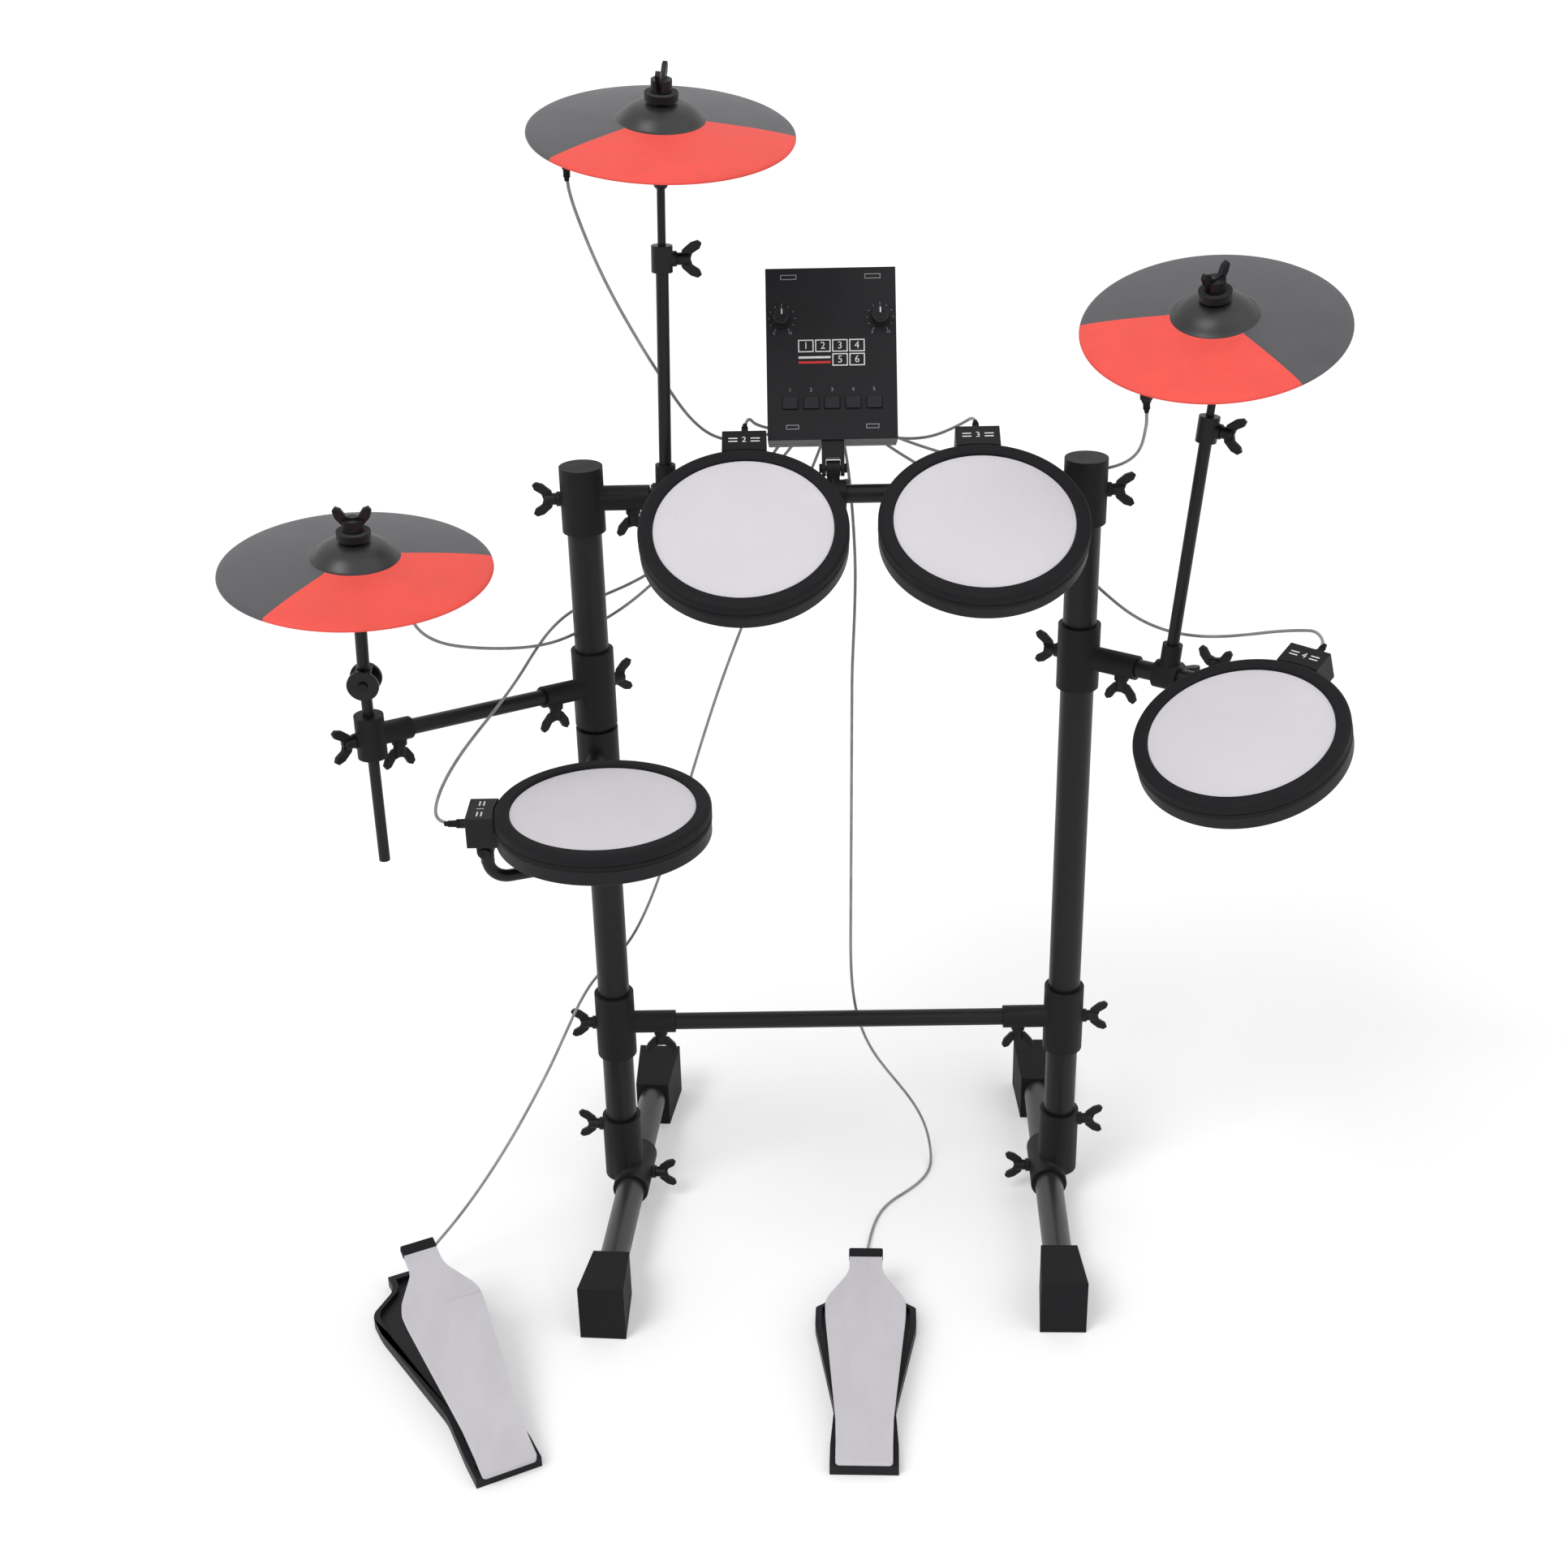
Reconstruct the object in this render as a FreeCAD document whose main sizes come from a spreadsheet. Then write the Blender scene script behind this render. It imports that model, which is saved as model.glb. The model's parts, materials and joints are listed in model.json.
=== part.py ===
import FreeCAD, Part
import Sketcher
import math
import os

# An electronic drum kit on a tube rack: four pads, three cymbal pads, a sound module and two pedals.
# X runs to the player's right, Y away from the player, Z up. The floor is Z = 0.

# Lengths in millimetres and angles in degrees. Places are measured from the middle of the rack.
SIZES = {
    # Rack
    "rack_offset_x": 44.0,
    "rack_offset_y": 124.35,
    "rack_height": 899.0,
    "post_spacing": 506.6,
    "post_width": 35.0,
    "post_wall": 1.6,
    "bar_width": 19.0,
    "bar_wall": 1.5,
    "top_bar_drop": 34.0,
    "lower_bar_height": 243.5,
    "fit_gap": 0.15,
    "turn_gap": 0.3,
    "pin_gap": 0.08,
    "overrun": 2.0,
    # Post clamps
    "clamp_wall": 4.6,
    "clamp_lid": 5.0,
    "lower_clamp_height": 80.0,
    "branch_wall": 3.2,
    "branch_length": 46.0,
    "branch_stop": 2.0,
    "branch_seat": 36.0,
    # Wing bolts
    "bolt_width": 6.0,
    "bolt_boss_width": 15.0,
    "bolt_boss_height": 4.0,
    "wing_hub_width": 12.0,
    "wing_hub_height": 12.0,
    "wing_span": 36.0,
    "wing_height": 24.0,
    "wing_thickness": 4.5,
    # Legs
    "leg_width": 32.0,
    "leg_wall": 1.8,
    "leg_height": 38.0,
    "leg_inset": 12.0,
    "leg_front": 251.0,
    "leg_rear": 226.0,
    "left_leg_turn": -4.5,
    "right_leg_turn": -1.5,
    "leg_sleeve_length": 74.0,
    "leg_clamp_top": 118.0,
    "leg_bolt_drop": 14.0,
    "post_foot": 60.0,
    "boot_width": 50.0,
    "boot_height": 66.0,
    "boot_length": 76.0,
    "boot_back_width": 40.0,
    "boot_back_height": 58.0,
    "boot_wall": 14.0,
    # Clamps on the bars, their sockets and the hinge eyes
    "bar_clamp_wall": 5.0,
    "bar_clamp_length": 26.0,
    "socket_wall": 4.0,
    "socket_height": 34.0,
    "eye_height": 27.0,
    "eye_width": 14.0,
    "eye_round": 16.0,
    "neck_width": 13.0,
    "pin_width": 6.0,
    "ear_thickness": 4.0,
    "bridge_rise": 10.0,
    # Pads
    "pad_width": 204.0,
    "pad_depth": 37.0,
    "pad_floor_width": 174.0,
    "pad_wall_step": 0.5,
    "pad_wall_depth": 30.0,
    "pad_shell_wall": 3.0,
    "pad_cavity_width": 156.0,
    "rim_depth": 16.0,
    "rim_inner_width": 175.0,
    "rim_round": 4.0,
    "head_sink": 3.0,
    "head_thickness": 6.0,
    "pad_gap": 0.3,
    "pad_box_width": 44.0,
    "pad_box_reach": 127.0,
    "pad_box_inner": 86.0,
    "pad_box_top": 1.5,
    "pad_box_depth": 32.0,
    "pad_pin_reach": 112.0,
    "jack_width": 9.0,
    "jack_length": 8.0,
    "left_tom_x": -88.0,
    "left_tom_tilt": 29.0,
    "right_tom_x": 143.0,
    "right_tom_tilt": 27.0,
    "snare_x": -222.0,
    "snare_y": -281.0,
    "snare_turn": 90.0,
    "floor_tom_x": 376.5,
    "floor_tom_y": -238.5,
    "floor_tom_drop": 192.0,
    "floor_tom_turn": -43.0,
    "floor_tom_tilt": 21.8,
    # Snare arm and right arm
    "snare_clamp_height": 58.0,
    "clamp_spacing": 5.0,
    "rod_width": 12.0,
    "snare_riser": 34.0,
    "snare_bend_y": -258.0,
    "snare_bend_x": -268.0,
    "rod_bend": 20.0,
    "right_clamp_height": 70.0,
    "right_arm_length": 128.0,
    "floor_riser": 26.0,
    "arm_collar_length": 30.0,
    "arm_collar_overlap": 16.0,
    "ride_reach": 102.0,
    # Hi-hat arm
    "hihat_clamp_height": 84.0,
    "hihat_arm_drop": 240.0,
    "hihat_arm_rise": 7.0,
    "hihat_arm_width": 16.0,
    "hihat_arm_wall": 1.5,
    "hihat_rod_width": 11.0,
    "hihat_rod_x": -452.0,
    "hihat_rod_y": -190.0,
    "hihat_rod_drop": 102.0,
    "hihat_knuckle_rise": 91.0,
    "hihat_stem": 120.0,
    "hihat_pin_turn": 90.0,
    "tilter_ear_width": 31.0,
    "tilter_sleeve_width": 12.0,
    "tilter_sleeve_gap": 4.0,
    "rod_clamp_wall": 9.0,
    "rod_clamp_height": 44.0,
    "rod_clamp_branch": 30.0,
    # Cymbal stands
    "stand_width": 12.5,
    "stand_rod_width": 8.0,
    "slide_gap": 0.3,
    "collar_width": 21.0,
    "collar_height": 26.0,
    "knuckle_width": 15.0,
    "crash_x": -169.0,
    "crash_top_x": -161.0,
    "crash_top_y": 12.0,
    "crash_rod_rise": 58.35,
    "crash_tube_length": 236.0,
    "crash_stem": 50.0,
    "crash_lean": 11.0,
    "crash_heading": -71.4,
    "ride_top_x": 366.3,
    "ride_top_y": -51.2,
    "ride_rod_rise": 26.394,
    "ride_tube_length": 256.0,
    "ride_stem": 70.0,
    "ride_lean": 18.3,
    "ride_heading": -109.8,
    "hihat_lean": 5.7,
    "hihat_heading": -57.8,
    "rod_engagement": 95.0,
    # Cymbal pads
    "cymbal_width": 254.0,
    "cymbal_edge": 4.0,
    "cymbal_bow": 11.0,
    "cymbal_skin": 4.0,
    "bell_width": 84.0,
    "bell_height": 27.0,
    "bell_crown_width": 36.0,
    "bell_shoulder": 21.0,
    "bell_shoulder_width": 66.0,
    "cymbal_hole": 13.0,
    "seat_ball_width": 18.0,
    "seat_ball_height": 16.0,
    "felt_width": 32.0,
    "felt_top": 37.0,
    "felt_gap": 0.6,
    "stem_end": 46.0,
    "nut_cap": 3.0,
    "nut_width": 20.0,
    "crash_nut_turn": 80.0,
    "ride_nut_turn": 40.0,
    "hihat_nut_turn": 8.0,
    "cymbal_jack_length": 22.0,
    "cymbal_jack_width": 12.0,
    "crash_jack_reach": 97.0,
    "crash_jack_angle": 209.0,
    "ride_jack_reach": 108.0,
    "ride_jack_angle": 226.0,
    "hihat_jack_reach": 52.0,
    "hihat_jack_angle": 35.0,
    # Sound module
    "module_x": 0.0,
    "module_tilt": 63.0,
    "module_width": 130.0,
    "module_height": 172.0,
    "case_depth": 22.0,
    "cover_depth": 20.0,
    "case_wall": 3.0,
    "module_pin_drop": 113.0,
    "module_pin_depth": 11.0,
    "module_jack_row": -50.0,
    "module_jack_pitch": 12.0,
    "button_width": 15.0,
    "button_height": 12.0,
    "button_proud": 2.5,
    "button_pitch": 21.0,
    "button_row": -49.0,
    "button_gap": 0.3,
    "knob_width": 20.0,
    "knob_height": 13.0,
    "knob_foot": 0.5,
    "knob_shaft_width": 6.0,
    "knob_x": 49.0,
    "knob_row": 36.0,
    # Pedals
    "pedal_length": 285.0,
    "hihat_pedal_length": 343.0,
    "pedal_heel_width": 69.0,
    "pedal_waist_width": 63.0,
    "pedal_shoulder_width": 109.0,
    "pedal_neck_width": 40.0,
    "pedal_floor": 6.0,
    "pedal_wall": 7.0,
    "pedal_wall_height": 12.0,
    "pedal_pin_y": 16.0,
    "pedal_pin_z": 12.0,
    "pedal_pin_width": 5.0,
    "pedal_lug_thickness": 4.5,
    "pedal_lug_round": 12.0,
    "board_length": 272.0,
    "board_back": 20.0,
    "board_thickness": 7.0,
    "board_rise": 7.0,
    "board_heel_width": 57.0,
    "board_waist_width": 59.0,
    "board_shoulder_width": 86.0,
    "board_neck_width": 36.0,
    "barrel_width": 10.6,
    "barrel_length": 46.0,
    "jack_box_length": 22.0,
    "jack_box_height": 18.0,
    "pedal_jack_rise": 12.0,
    "pedal_jack_width": 10.0,
    "pedal_jack_length": 10.0,
    "bumper_width": 24.0,
    "bumper_y": 196.0,
    "kick_x": 15.0,
    "kick_y": -459.0,
    "kick_turn": -2.0,
    "kick_rest": 6.5,
    "kick_travel": 4.5,
    "hihat_pedal_x": -338.0,
    "hihat_pedal_y": -456.5,
    "hihat_pedal_turn": 26.5,
    "hihat_pedal_rest": 16.5,
    "hihat_pedal_travel": 13.0,
    # Cords
    "cord_width": 3.2,
    "cord_stub": 15.0,
}

COUNT_OF_BUTTONS = 5
COUNT_OF_MODULE_JACKS = 9

# A wing's half outline, as shares of the span and of the wing's height.
WING_SHARES = [(0.0, 0.12), (0.24, 0.2), (0.44, 0.55), (0.5, 0.84), (0.42, 1.0), (0.28, 0.92), (0.15, 0.62), (0.0, 0.55)]
# Where along the pedal its heel, waist, shoulder and neck lie, as shares of its length.
PEDAL_STATION_SHARES = [0.0, 0.1, 0.29, 0.74, 0.84, 0.93, 1.0]
# The same for the footboard, measured from the back of its heel.
BOARD_STATION_SHARES = [0.0, 0.08, 0.2, 0.68, 0.74, 0.877, 1.0]
# How far along each branch its own bolt sits, as a share of the branch's length.
BRANCH_BOLT_SHARE = 0.62
# How much of the shorter run beside a corner its arc may take up.
ARC_SHARE = 0.45
# Where a cymbal's bow bends between its bell and its edge, and how high it is there.
BOW_MIDDLE_SHARE = 0.5
BOW_MIDDLE_RISE_SHARE = 0.62
# The underside of the bell's crown, as a share of the bell's height.
BELL_FLOOR_SHARE = 0.633
# How steeply a felt's underside rises towards its rim, so that the cymbal can swing.
FELT_SLOPE_SHARE = 0.14

ORIGIN = FreeCAD.Vector(0, 0, 0)
UP = FreeCAD.Vector(0, 0, 1)
RIGHT = FreeCAD.Vector(1, 0, 0)
AWAY = FreeCAD.Vector(0, 1, 0)

doc = FreeCAD.newDocument("drum_kit")
nodes = []


class Size:
    """A length worked out from cells of the sheet: its text for an expression, and its value."""

    def __init__(self, text, value):
        self.text = text
        self.value = value

    def __float__(self):
        return float(self.value)

    def __add__(self, other):
        return Size("(%s + %s)" % (self.text, other.text), self.value + other.value)

    def __sub__(self, other):
        return Size("(%s - %s)" % (self.text, other.text), self.value - other.value)

    def __mul__(self, share):
        return Size("(%s * %r)" % (self.text, share), self.value * share)

    def __truediv__(self, share):
        return Size("(%s / %r)" % (self.text, share), self.value / share)

    def __neg__(self):
        return Size("(0 - %s)" % self.text, -self.value)


class Sheet:
    """The driving sizes by name, each a Size bound to its cell."""

    def __init__(self, sizes):
        cells = doc.addObject("Spreadsheet::Sheet", "Sizes")
        for row, (name, value) in enumerate(sizes.items(), 1):
            cells.set("A%d" % row, name)
            cells.set("B%d" % row, str(value))
            cells.setAlias("B%d" % row, name)
            setattr(self, name, Size("Sizes." + name, value))


S = Sheet(SIZES)
ZERO = Size("0", 0.0)
doc.recompute()


def point(x, y, z):
    return FreeCAD.Vector(float(x), float(y), float(z))


def at(x, y, z):
    """A place measured from the middle of the rack, on the floor."""
    return point(float(x) + float(S.rack_offset_x), float(y) + float(S.rack_offset_y), z)


def measured(length):
    """A length that follows from where two points lie."""
    return Size(repr(length), length)


def place(base=ORIGIN, rotation=FreeCAD.Rotation()):
    return FreeCAD.Placement(base, rotation)


def spin(axis, angle):
    return FreeCAD.Rotation(axis, float(angle))


def facing(direction):
    return FreeCAD.Rotation(UP, direction)


def leaning(lean, heading):
    """The direction of a stem that leans from upright towards a heading."""
    lean = math.radians(float(lean))
    heading = math.radians(float(heading))
    return FreeCAD.Vector(math.sin(lean) * math.cos(heading), math.sin(lean) * math.sin(heading), math.cos(lean))


# Primitives and booleans

def bar(width, length, start=ORIGIN, along=UP):
    """A round bar from a start point along a direction."""
    piece = doc.addObject("Part::Cylinder", "bar")
    piece.setExpression("Radius", (width / 2).text)
    piece.setExpression("Height", length.text)
    piece.Placement = place(start, facing(along))
    return piece


def block(length, width, height, corner):
    piece = doc.addObject("Part::Box", "block")
    piece.setExpression("Length", length.text)
    piece.setExpression("Width", width.text)
    piece.setExpression("Height", height.text)
    piece.Placement = place(corner)
    return piece


def ball(width, centre):
    piece = doc.addObject("Part::Sphere", "ball")
    piece.setExpression("Radius", (width / 2).text)
    piece.Placement = place(centre)
    return piece


def join(*pieces):
    whole = doc.addObject("Part::MultiFuse", "whole")
    whole.Shapes = list(pieces)
    whole.Refine = True
    return whole


def cut(base, *tools):
    rest = doc.addObject("Part::Cut", "rest")
    rest.Base = base
    rest.Tool = tools[0] if len(tools) == 1 else join(*tools)
    return rest


def tube(width, wall, length, start=ORIGIN, along=UP):
    outer = bar(width, length, start, along)
    inner = bar(width - wall * 2, length + S.overrun * 2, start - along * float(S.overrun), along)
    return cut(outer, inner)


# Sketched bodies

def sketched(body, name, role, points):
    """A closed outline on one of the body's own planes, each corner bound to the sheet."""
    plane = [feature for feature in body.Origin.OriginFeatures if feature.Role == role][0]
    sketch = body.newObject("Sketcher::SketchObject", name)
    sketch.AttachmentSupport = [(plane, "")]
    sketch.MapMode = "FlatFace"
    count = len(points)
    for index in range(count):
        start = point(*points[index], ZERO)
        end = point(*points[(index + 1) % count], ZERO)
        sketch.addGeometry(Part.LineSegment(start, end))
    for index in range(count):
        sketch.addConstraint(Sketcher.Constraint("Coincident", index, 2, (index + 1) % count, 1))
    for index, corner in enumerate(points):
        for kind, length in zip(("DistanceX", "DistanceY"), corner):
            mark = sketch.addConstraint(Sketcher.Constraint(kind, -1, 1, index, 1, float(length)))
            sketch.setExpression("Constraints[%d]" % mark, length.text)
    return sketch


def turned(name, points):
    """A body turned about Z from an outline of radius and height."""
    body = doc.addObject("PartDesign::Body", name)
    sketch = sketched(body, name + "_outline", "XZ_Plane", points)
    turn = body.newObject("PartDesign::Revolution", name + "_turn")
    turn.Profile = sketch
    turn.ReferenceAxis = (sketch, ["V_Axis"])
    turn.Angle = 360
    return body


def plate(name, points, thickness):
    """A flat body of one outline, as thick as given."""
    body = doc.addObject("PartDesign::Body", name)
    sketch = sketched(body, name + "_outline", "XY_Plane", points)
    pad = body.newObject("PartDesign::Pad", name + "_pad")
    pad.Profile = sketch
    pad.setExpression("Length", thickness.text)
    return body


def rounded(body, radius, chosen):
    """Rounds those edges of a body's last feature that a test picks."""
    doc.recompute()
    base = body.Tip
    names = ["Edge%d" % (i + 1) for i, edge in enumerate(base.Shape.Edges) if chosen(edge)]
    fillet = body.newObject("PartDesign::Fillet", body.Name + "_round")
    fillet.Base = (base, names)
    fillet.setExpression("Radius", radius.text)
    return body


def moved(piece, where):
    link = doc.addObject("App::Link", piece.Name + "_copy")
    link.LinkedObject = piece
    link.Placement = where * piece.Placement
    return link


def node(label, *placed):
    """A named node: one piece, or a group of like pieces, each at its place."""
    group = doc.addObject("Part::Compound", label)
    group.Label = label
    group.Links = [moved(piece, where) for piece, where in placed]
    nodes.append(group)
    return group


pivots = []


def hinge(name, centre, axis):
    """Notes where a joint lies and its axis, for the record."""
    pivots.append((name, centre, axis))


# Bent rods and cords

def bent_path(points, bend=None):
    """Straight runs joined by tangent arcs, as large as the runs allow or of one bend radius."""
    edges = []
    radii = []
    start = points[0]
    for before, corner, after in zip(points, points[1:], points[2:]):
        back = (before - corner).normalize()
        ahead = (after - corner).normalize()
        half = (math.pi - back.getAngle(ahead)) / 2
        reach = ARC_SHARE * min((before - corner).Length, (after - corner).Length)
        if bend:
            reach = bend * math.tan(half)
        radius = reach / math.tan(half)
        inward = (back + ahead).normalize()
        middle = corner + inward * (radius / math.cos(half) - radius)
        edges.append(Part.LineSegment(start, corner + back * reach).toShape())
        edges.append(Part.Arc(corner + back * reach, middle, corner + ahead * reach).toShape())
        start = corner + ahead * reach
        radii.append(radius)
    edges.append(Part.LineSegment(start, points[-1]).toShape())
    return Part.Wire(edges), radii


def bent_bar(name, points, width, bend=None):
    """A round bar or cord along a route of points."""
    path, radii = bent_path(points, bend)
    section = Part.Wire(Part.Circle(points[0], points[1] - points[0], float(width) / 2).toShape())
    solid = path.makePipeShell([section], True, False)
    whole = math.pi * float(width) ** 2 / 4 * path.Length
    piece = doc.addObject("Part::Feature", name)
    piece.Shape = solid
    print("%-18s length %7.1f  least radius %6.1f  volume %.4f of section times length"
          % (name, path.Length, min(radii), solid.Volume / whole))
    return piece


# Wing bolts: the hub stands on a boss, its screw reaches down through the boss into the wall

def wing_plate(name):
    half = [(S.wing_span * across, S.wing_height * up) for across, up in WING_SHARES]
    other = [(-across, up) for across, up in reversed(half[1:-1])]
    body = plate(name, half + other, S.wing_thickness)
    return moved(body, place(point(ZERO, S.wing_thickness / 2, ZERO), spin(RIGHT, 90)))


def wing_bolt():
    reach = S.bolt_boss_height + S.branch_wall - S.fit_gap
    hub = turned("wing_bolt_hub", [
        (ZERO, -reach),
        (S.bolt_width / 2, -reach),
        (S.bolt_width / 2, ZERO),
        (S.wing_hub_width / 2, ZERO),
        (S.wing_hub_width / 2, S.wing_hub_height),
        (ZERO, S.wing_hub_height),
    ])
    return join(hub, wing_plate("wing_bolt_wings"))


WING_BOLT = wing_bolt()


def bolted(clamps):
    """The wing bolts of some clamps, each a (clamp, bolt places) pair at its place."""
    return [(WING_BOLT, where * seat) for (clamp, seats), where in clamps for seat in seats]


# Clamps

def bolt_hole(seat, depth):
    start = seat.multVec(point(ZERO, ZERO, S.overrun))
    inward = seat.Rotation.multVec(-UP)
    return bar(S.bolt_width + S.fit_gap * 2, depth + S.overrun, start, inward)


def post_clamp(bore, wall, height, branch_bore, branch_length, gap, rise=0.0, lid=None):
    """A sleeve round an upright with a branch sleeve for an arm, a bolt opposite and one under the branch."""
    outer = bore + wall * 2
    branch_outer = branch_bore + S.branch_wall * 2
    branch_turn = spin(AWAY, -rise)
    branch_way = branch_turn.multVec(RIGHT)
    below = branch_turn.multVec(-UP)
    branch_end = outer / 2 + branch_length
    under = branch_way * float(outer / 2 + branch_length * BRANCH_BOLT_SHARE)
    boss_reach = branch_outer / 2 + S.bolt_boss_height
    back_seat = place(point(-(outer / 2 + S.bolt_boss_height), ZERO, ZERO), facing(-RIGHT))
    under_seat = place(under + below * float(boss_reach), facing(below))
    body = join(
        bar(outer, height, point(ZERO, ZERO, -(height / 2))),
        bar(branch_outer, branch_end, ORIGIN, branch_way),
        bar(S.bolt_boss_width, outer / 2 + S.bolt_boss_height, ORIGIN, -RIGHT),
        bar(S.bolt_boss_width, boss_reach, under, below),
    )
    bore_top = height / 2 + S.overrun if lid is None else height / 2 - lid
    bore_length = height / 2 + S.overrun + bore_top
    branch_start = branch_way * float(outer / 2 + S.branch_stop)
    clamp = cut(
        body,
        bar(bore + gap * 2, bore_length, point(ZERO, ZERO, -(height / 2 + S.overrun))),
        bar(branch_bore + S.fit_gap * 2, branch_length, branch_start, branch_way),
        bolt_hole(back_seat, wall + S.bolt_boss_height),
        bolt_hole(under_seat, S.branch_wall + S.bolt_boss_height),
    )
    return clamp, [back_seat, under_seat]


def bar_clamp_sleeve():
    outer = S.bar_width + S.bar_clamp_wall * 2
    length = S.bar_clamp_length
    start = point(-(length / 2), ZERO, ZERO)
    seat = place(point(ZERO, outer / 2 + S.bolt_boss_height, ZERO), facing(AWAY))
    sleeve = bar(outer, length, start, RIGHT)
    boss = bar(S.bolt_boss_width, outer / 2 + S.bolt_boss_height, ORIGIN, AWAY)
    bore_start = point(-(length / 2 + S.overrun), ZERO, ZERO)
    bore = bar(S.bar_width + S.fit_gap * 2, length + S.overrun * 2, bore_start, RIGHT)
    return [sleeve, boss], [bore, bolt_hole(seat, S.bar_clamp_wall + S.bolt_boss_height)], [seat]


def socket_clamp(lean):
    """A clamp on a bar with a socket for a cymbal stand, which may lean along the bar."""
    solids, tools, seats = bar_clamp_sleeve()
    way = spin(AWAY, lean).multVec(UP)
    socket = bar(S.stand_width + S.socket_wall * 2, S.socket_height, ORIGIN, way)
    floor = S.bar_width / 2 + S.bar_clamp_wall
    hole = bar(S.stand_width + S.fit_gap * 2, S.socket_height, way * float(floor), way)
    return cut(join(socket, *solids), hole, *tools), seats


def eye(neck_length):
    """A hinge eye about X at the origin, on a neck that runs down from it."""
    round_part = bar(S.eye_round, S.eye_width, point(-(S.eye_width / 2), ZERO, ZERO), RIGHT)
    neck = bar(S.neck_width, neck_length, ORIGIN, -UP)
    start = point(-(S.eye_width / 2 + S.overrun), ZERO, ZERO)
    hole = bar(S.pin_width + S.pin_gap * 2, S.eye_width + S.overrun * 2, start, RIGHT)
    return [round_part, neck], hole


def eye_clamp():
    """A clamp on a bar with a hinge eye above it."""
    solids, tools, seats = bar_clamp_sleeve()
    eye_solids, eye_hole = eye(S.eye_height)
    lift = place(point(ZERO, ZERO, S.eye_height))
    for piece in eye_solids + [eye_hole]:
        piece.Placement = lift * piece.Placement
    return cut(join(*solids, *eye_solids), eye_hole, *tools), seats


def fork(ear_round=S.eye_round):
    """Two ears and their pin, about X at the origin, under a bridge."""
    inner = S.eye_width / 2 + S.turn_gap
    outer = inner + S.ear_thickness
    rise = S.bridge_rise
    pieces = [bar(S.pin_width, outer * 2, point(-outer, ZERO, ZERO), RIGHT)]
    for left in (inner, -outer):
        pieces.append(bar(ear_round, S.ear_thickness, point(left, ZERO, ZERO), RIGHT))
        corner = point(left, -(S.eye_round / 2), ZERO)
        pieces.append(block(S.ear_thickness, S.eye_round, rise + S.ear_thickness, corner))
    corner = point(-outer, -(S.eye_round / 2), rise)
    pieces.append(block(outer * 2, S.eye_round, S.ear_thickness, corner))
    return pieces


def shifted(pieces, where):
    for piece in pieces:
        piece.Placement = where * piece.Placement
    return pieces


# The rack

LEFT_POST_X = -(S.post_spacing / 2)
RIGHT_POST_X = S.post_spacing / 2
TURNED_ROUND = spin(UP, 180)
clamp_outer = S.post_width + S.clamp_wall * 2

post_length = S.rack_height - S.clamp_lid - S.fit_gap - S.post_foot
post = tube(S.post_width, S.post_wall, post_length)
for label, post_x in (("left_post", LEFT_POST_X), ("right_post", RIGHT_POST_X)):
    node(label, (post, place(at(post_x, ZERO, S.post_foot))))

bar_reach = clamp_outer / 2 + S.branch_length - S.branch_seat
bar_length = S.post_spacing - bar_reach * 2
cross_bar = tube(S.bar_width, S.bar_wall, bar_length, ORIGIN, RIGHT)
top_bar_height = S.rack_height - S.top_bar_drop
bar_heights = (top_bar_height, S.lower_bar_height)
node("cross_bars", *[(cross_bar, place(at(LEFT_POST_X + bar_reach, ZERO, height))) for height in bar_heights])

top_clamp_height = S.top_bar_drop * 2
top_clamp = post_clamp(
    S.post_width, S.clamp_wall, top_clamp_height, S.bar_width, S.branch_length, S.fit_gap, lid=S.clamp_lid)
lower_clamp = post_clamp(
    S.post_width, S.clamp_wall, S.lower_clamp_height, S.bar_width, S.branch_length, S.fit_gap)
rack_clamps = []
for label, clamp, height in zip(("top_clamps", "lower_clamps"), (top_clamp, lower_clamp), bar_heights):
    pair = [
        (clamp, place(at(LEFT_POST_X, ZERO, height))),
        (clamp, place(at(RIGHT_POST_X, ZERO, height), TURNED_ROUND)),
    ]
    rack_clamps += pair
    node(label, *[(piece, where) for (piece, seats), where in pair])


def leg_clamp(side):
    """A sleeve round the foot of a post, standing on a sleeve round the leg tube; side is the post's side."""
    outer = S.leg_width + S.clamp_wall * 2
    half = S.leg_sleeve_length / 2
    inset = S.leg_inset * -side
    reach = clamp_outer / 2 + S.bolt_boss_height
    bolt_z = S.leg_clamp_top - S.leg_bolt_drop
    inner_reach = outer / 2 + S.bolt_boss_height
    outward = RIGHT * side
    outer_seat = place(point(reach * side, ZERO, bolt_z), facing(outward))
    inner_seat = place(point(inset - inner_reach * side, ZERO, S.leg_height), facing(-outward))
    body = join(
        bar(clamp_outer, S.leg_clamp_top - S.leg_height, point(ZERO, ZERO, S.leg_height)),
        bar(outer, S.leg_sleeve_length, point(inset, -half, S.leg_height), AWAY),
        bar(S.bolt_boss_width, reach, point(ZERO, ZERO, bolt_z), outward),
        bar(S.bolt_boss_width, inner_reach, point(inset, ZERO, S.leg_height), -outward),
    )
    bore_foot = S.post_foot - S.fit_gap
    clamp = cut(
        body,
        bar(S.post_width + S.fit_gap * 2, S.leg_clamp_top, point(ZERO, ZERO, bore_foot)),
        bar(S.leg_width + S.fit_gap * 2, S.leg_sleeve_length + S.overrun * 2,
            point(inset, -(half + S.overrun), S.leg_height), AWAY),
        bolt_hole(outer_seat, S.clamp_wall + S.bolt_boss_height),
        bolt_hole(inner_seat, S.clamp_wall + S.bolt_boss_height),
    )
    return clamp, [outer_seat, inner_seat]


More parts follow.
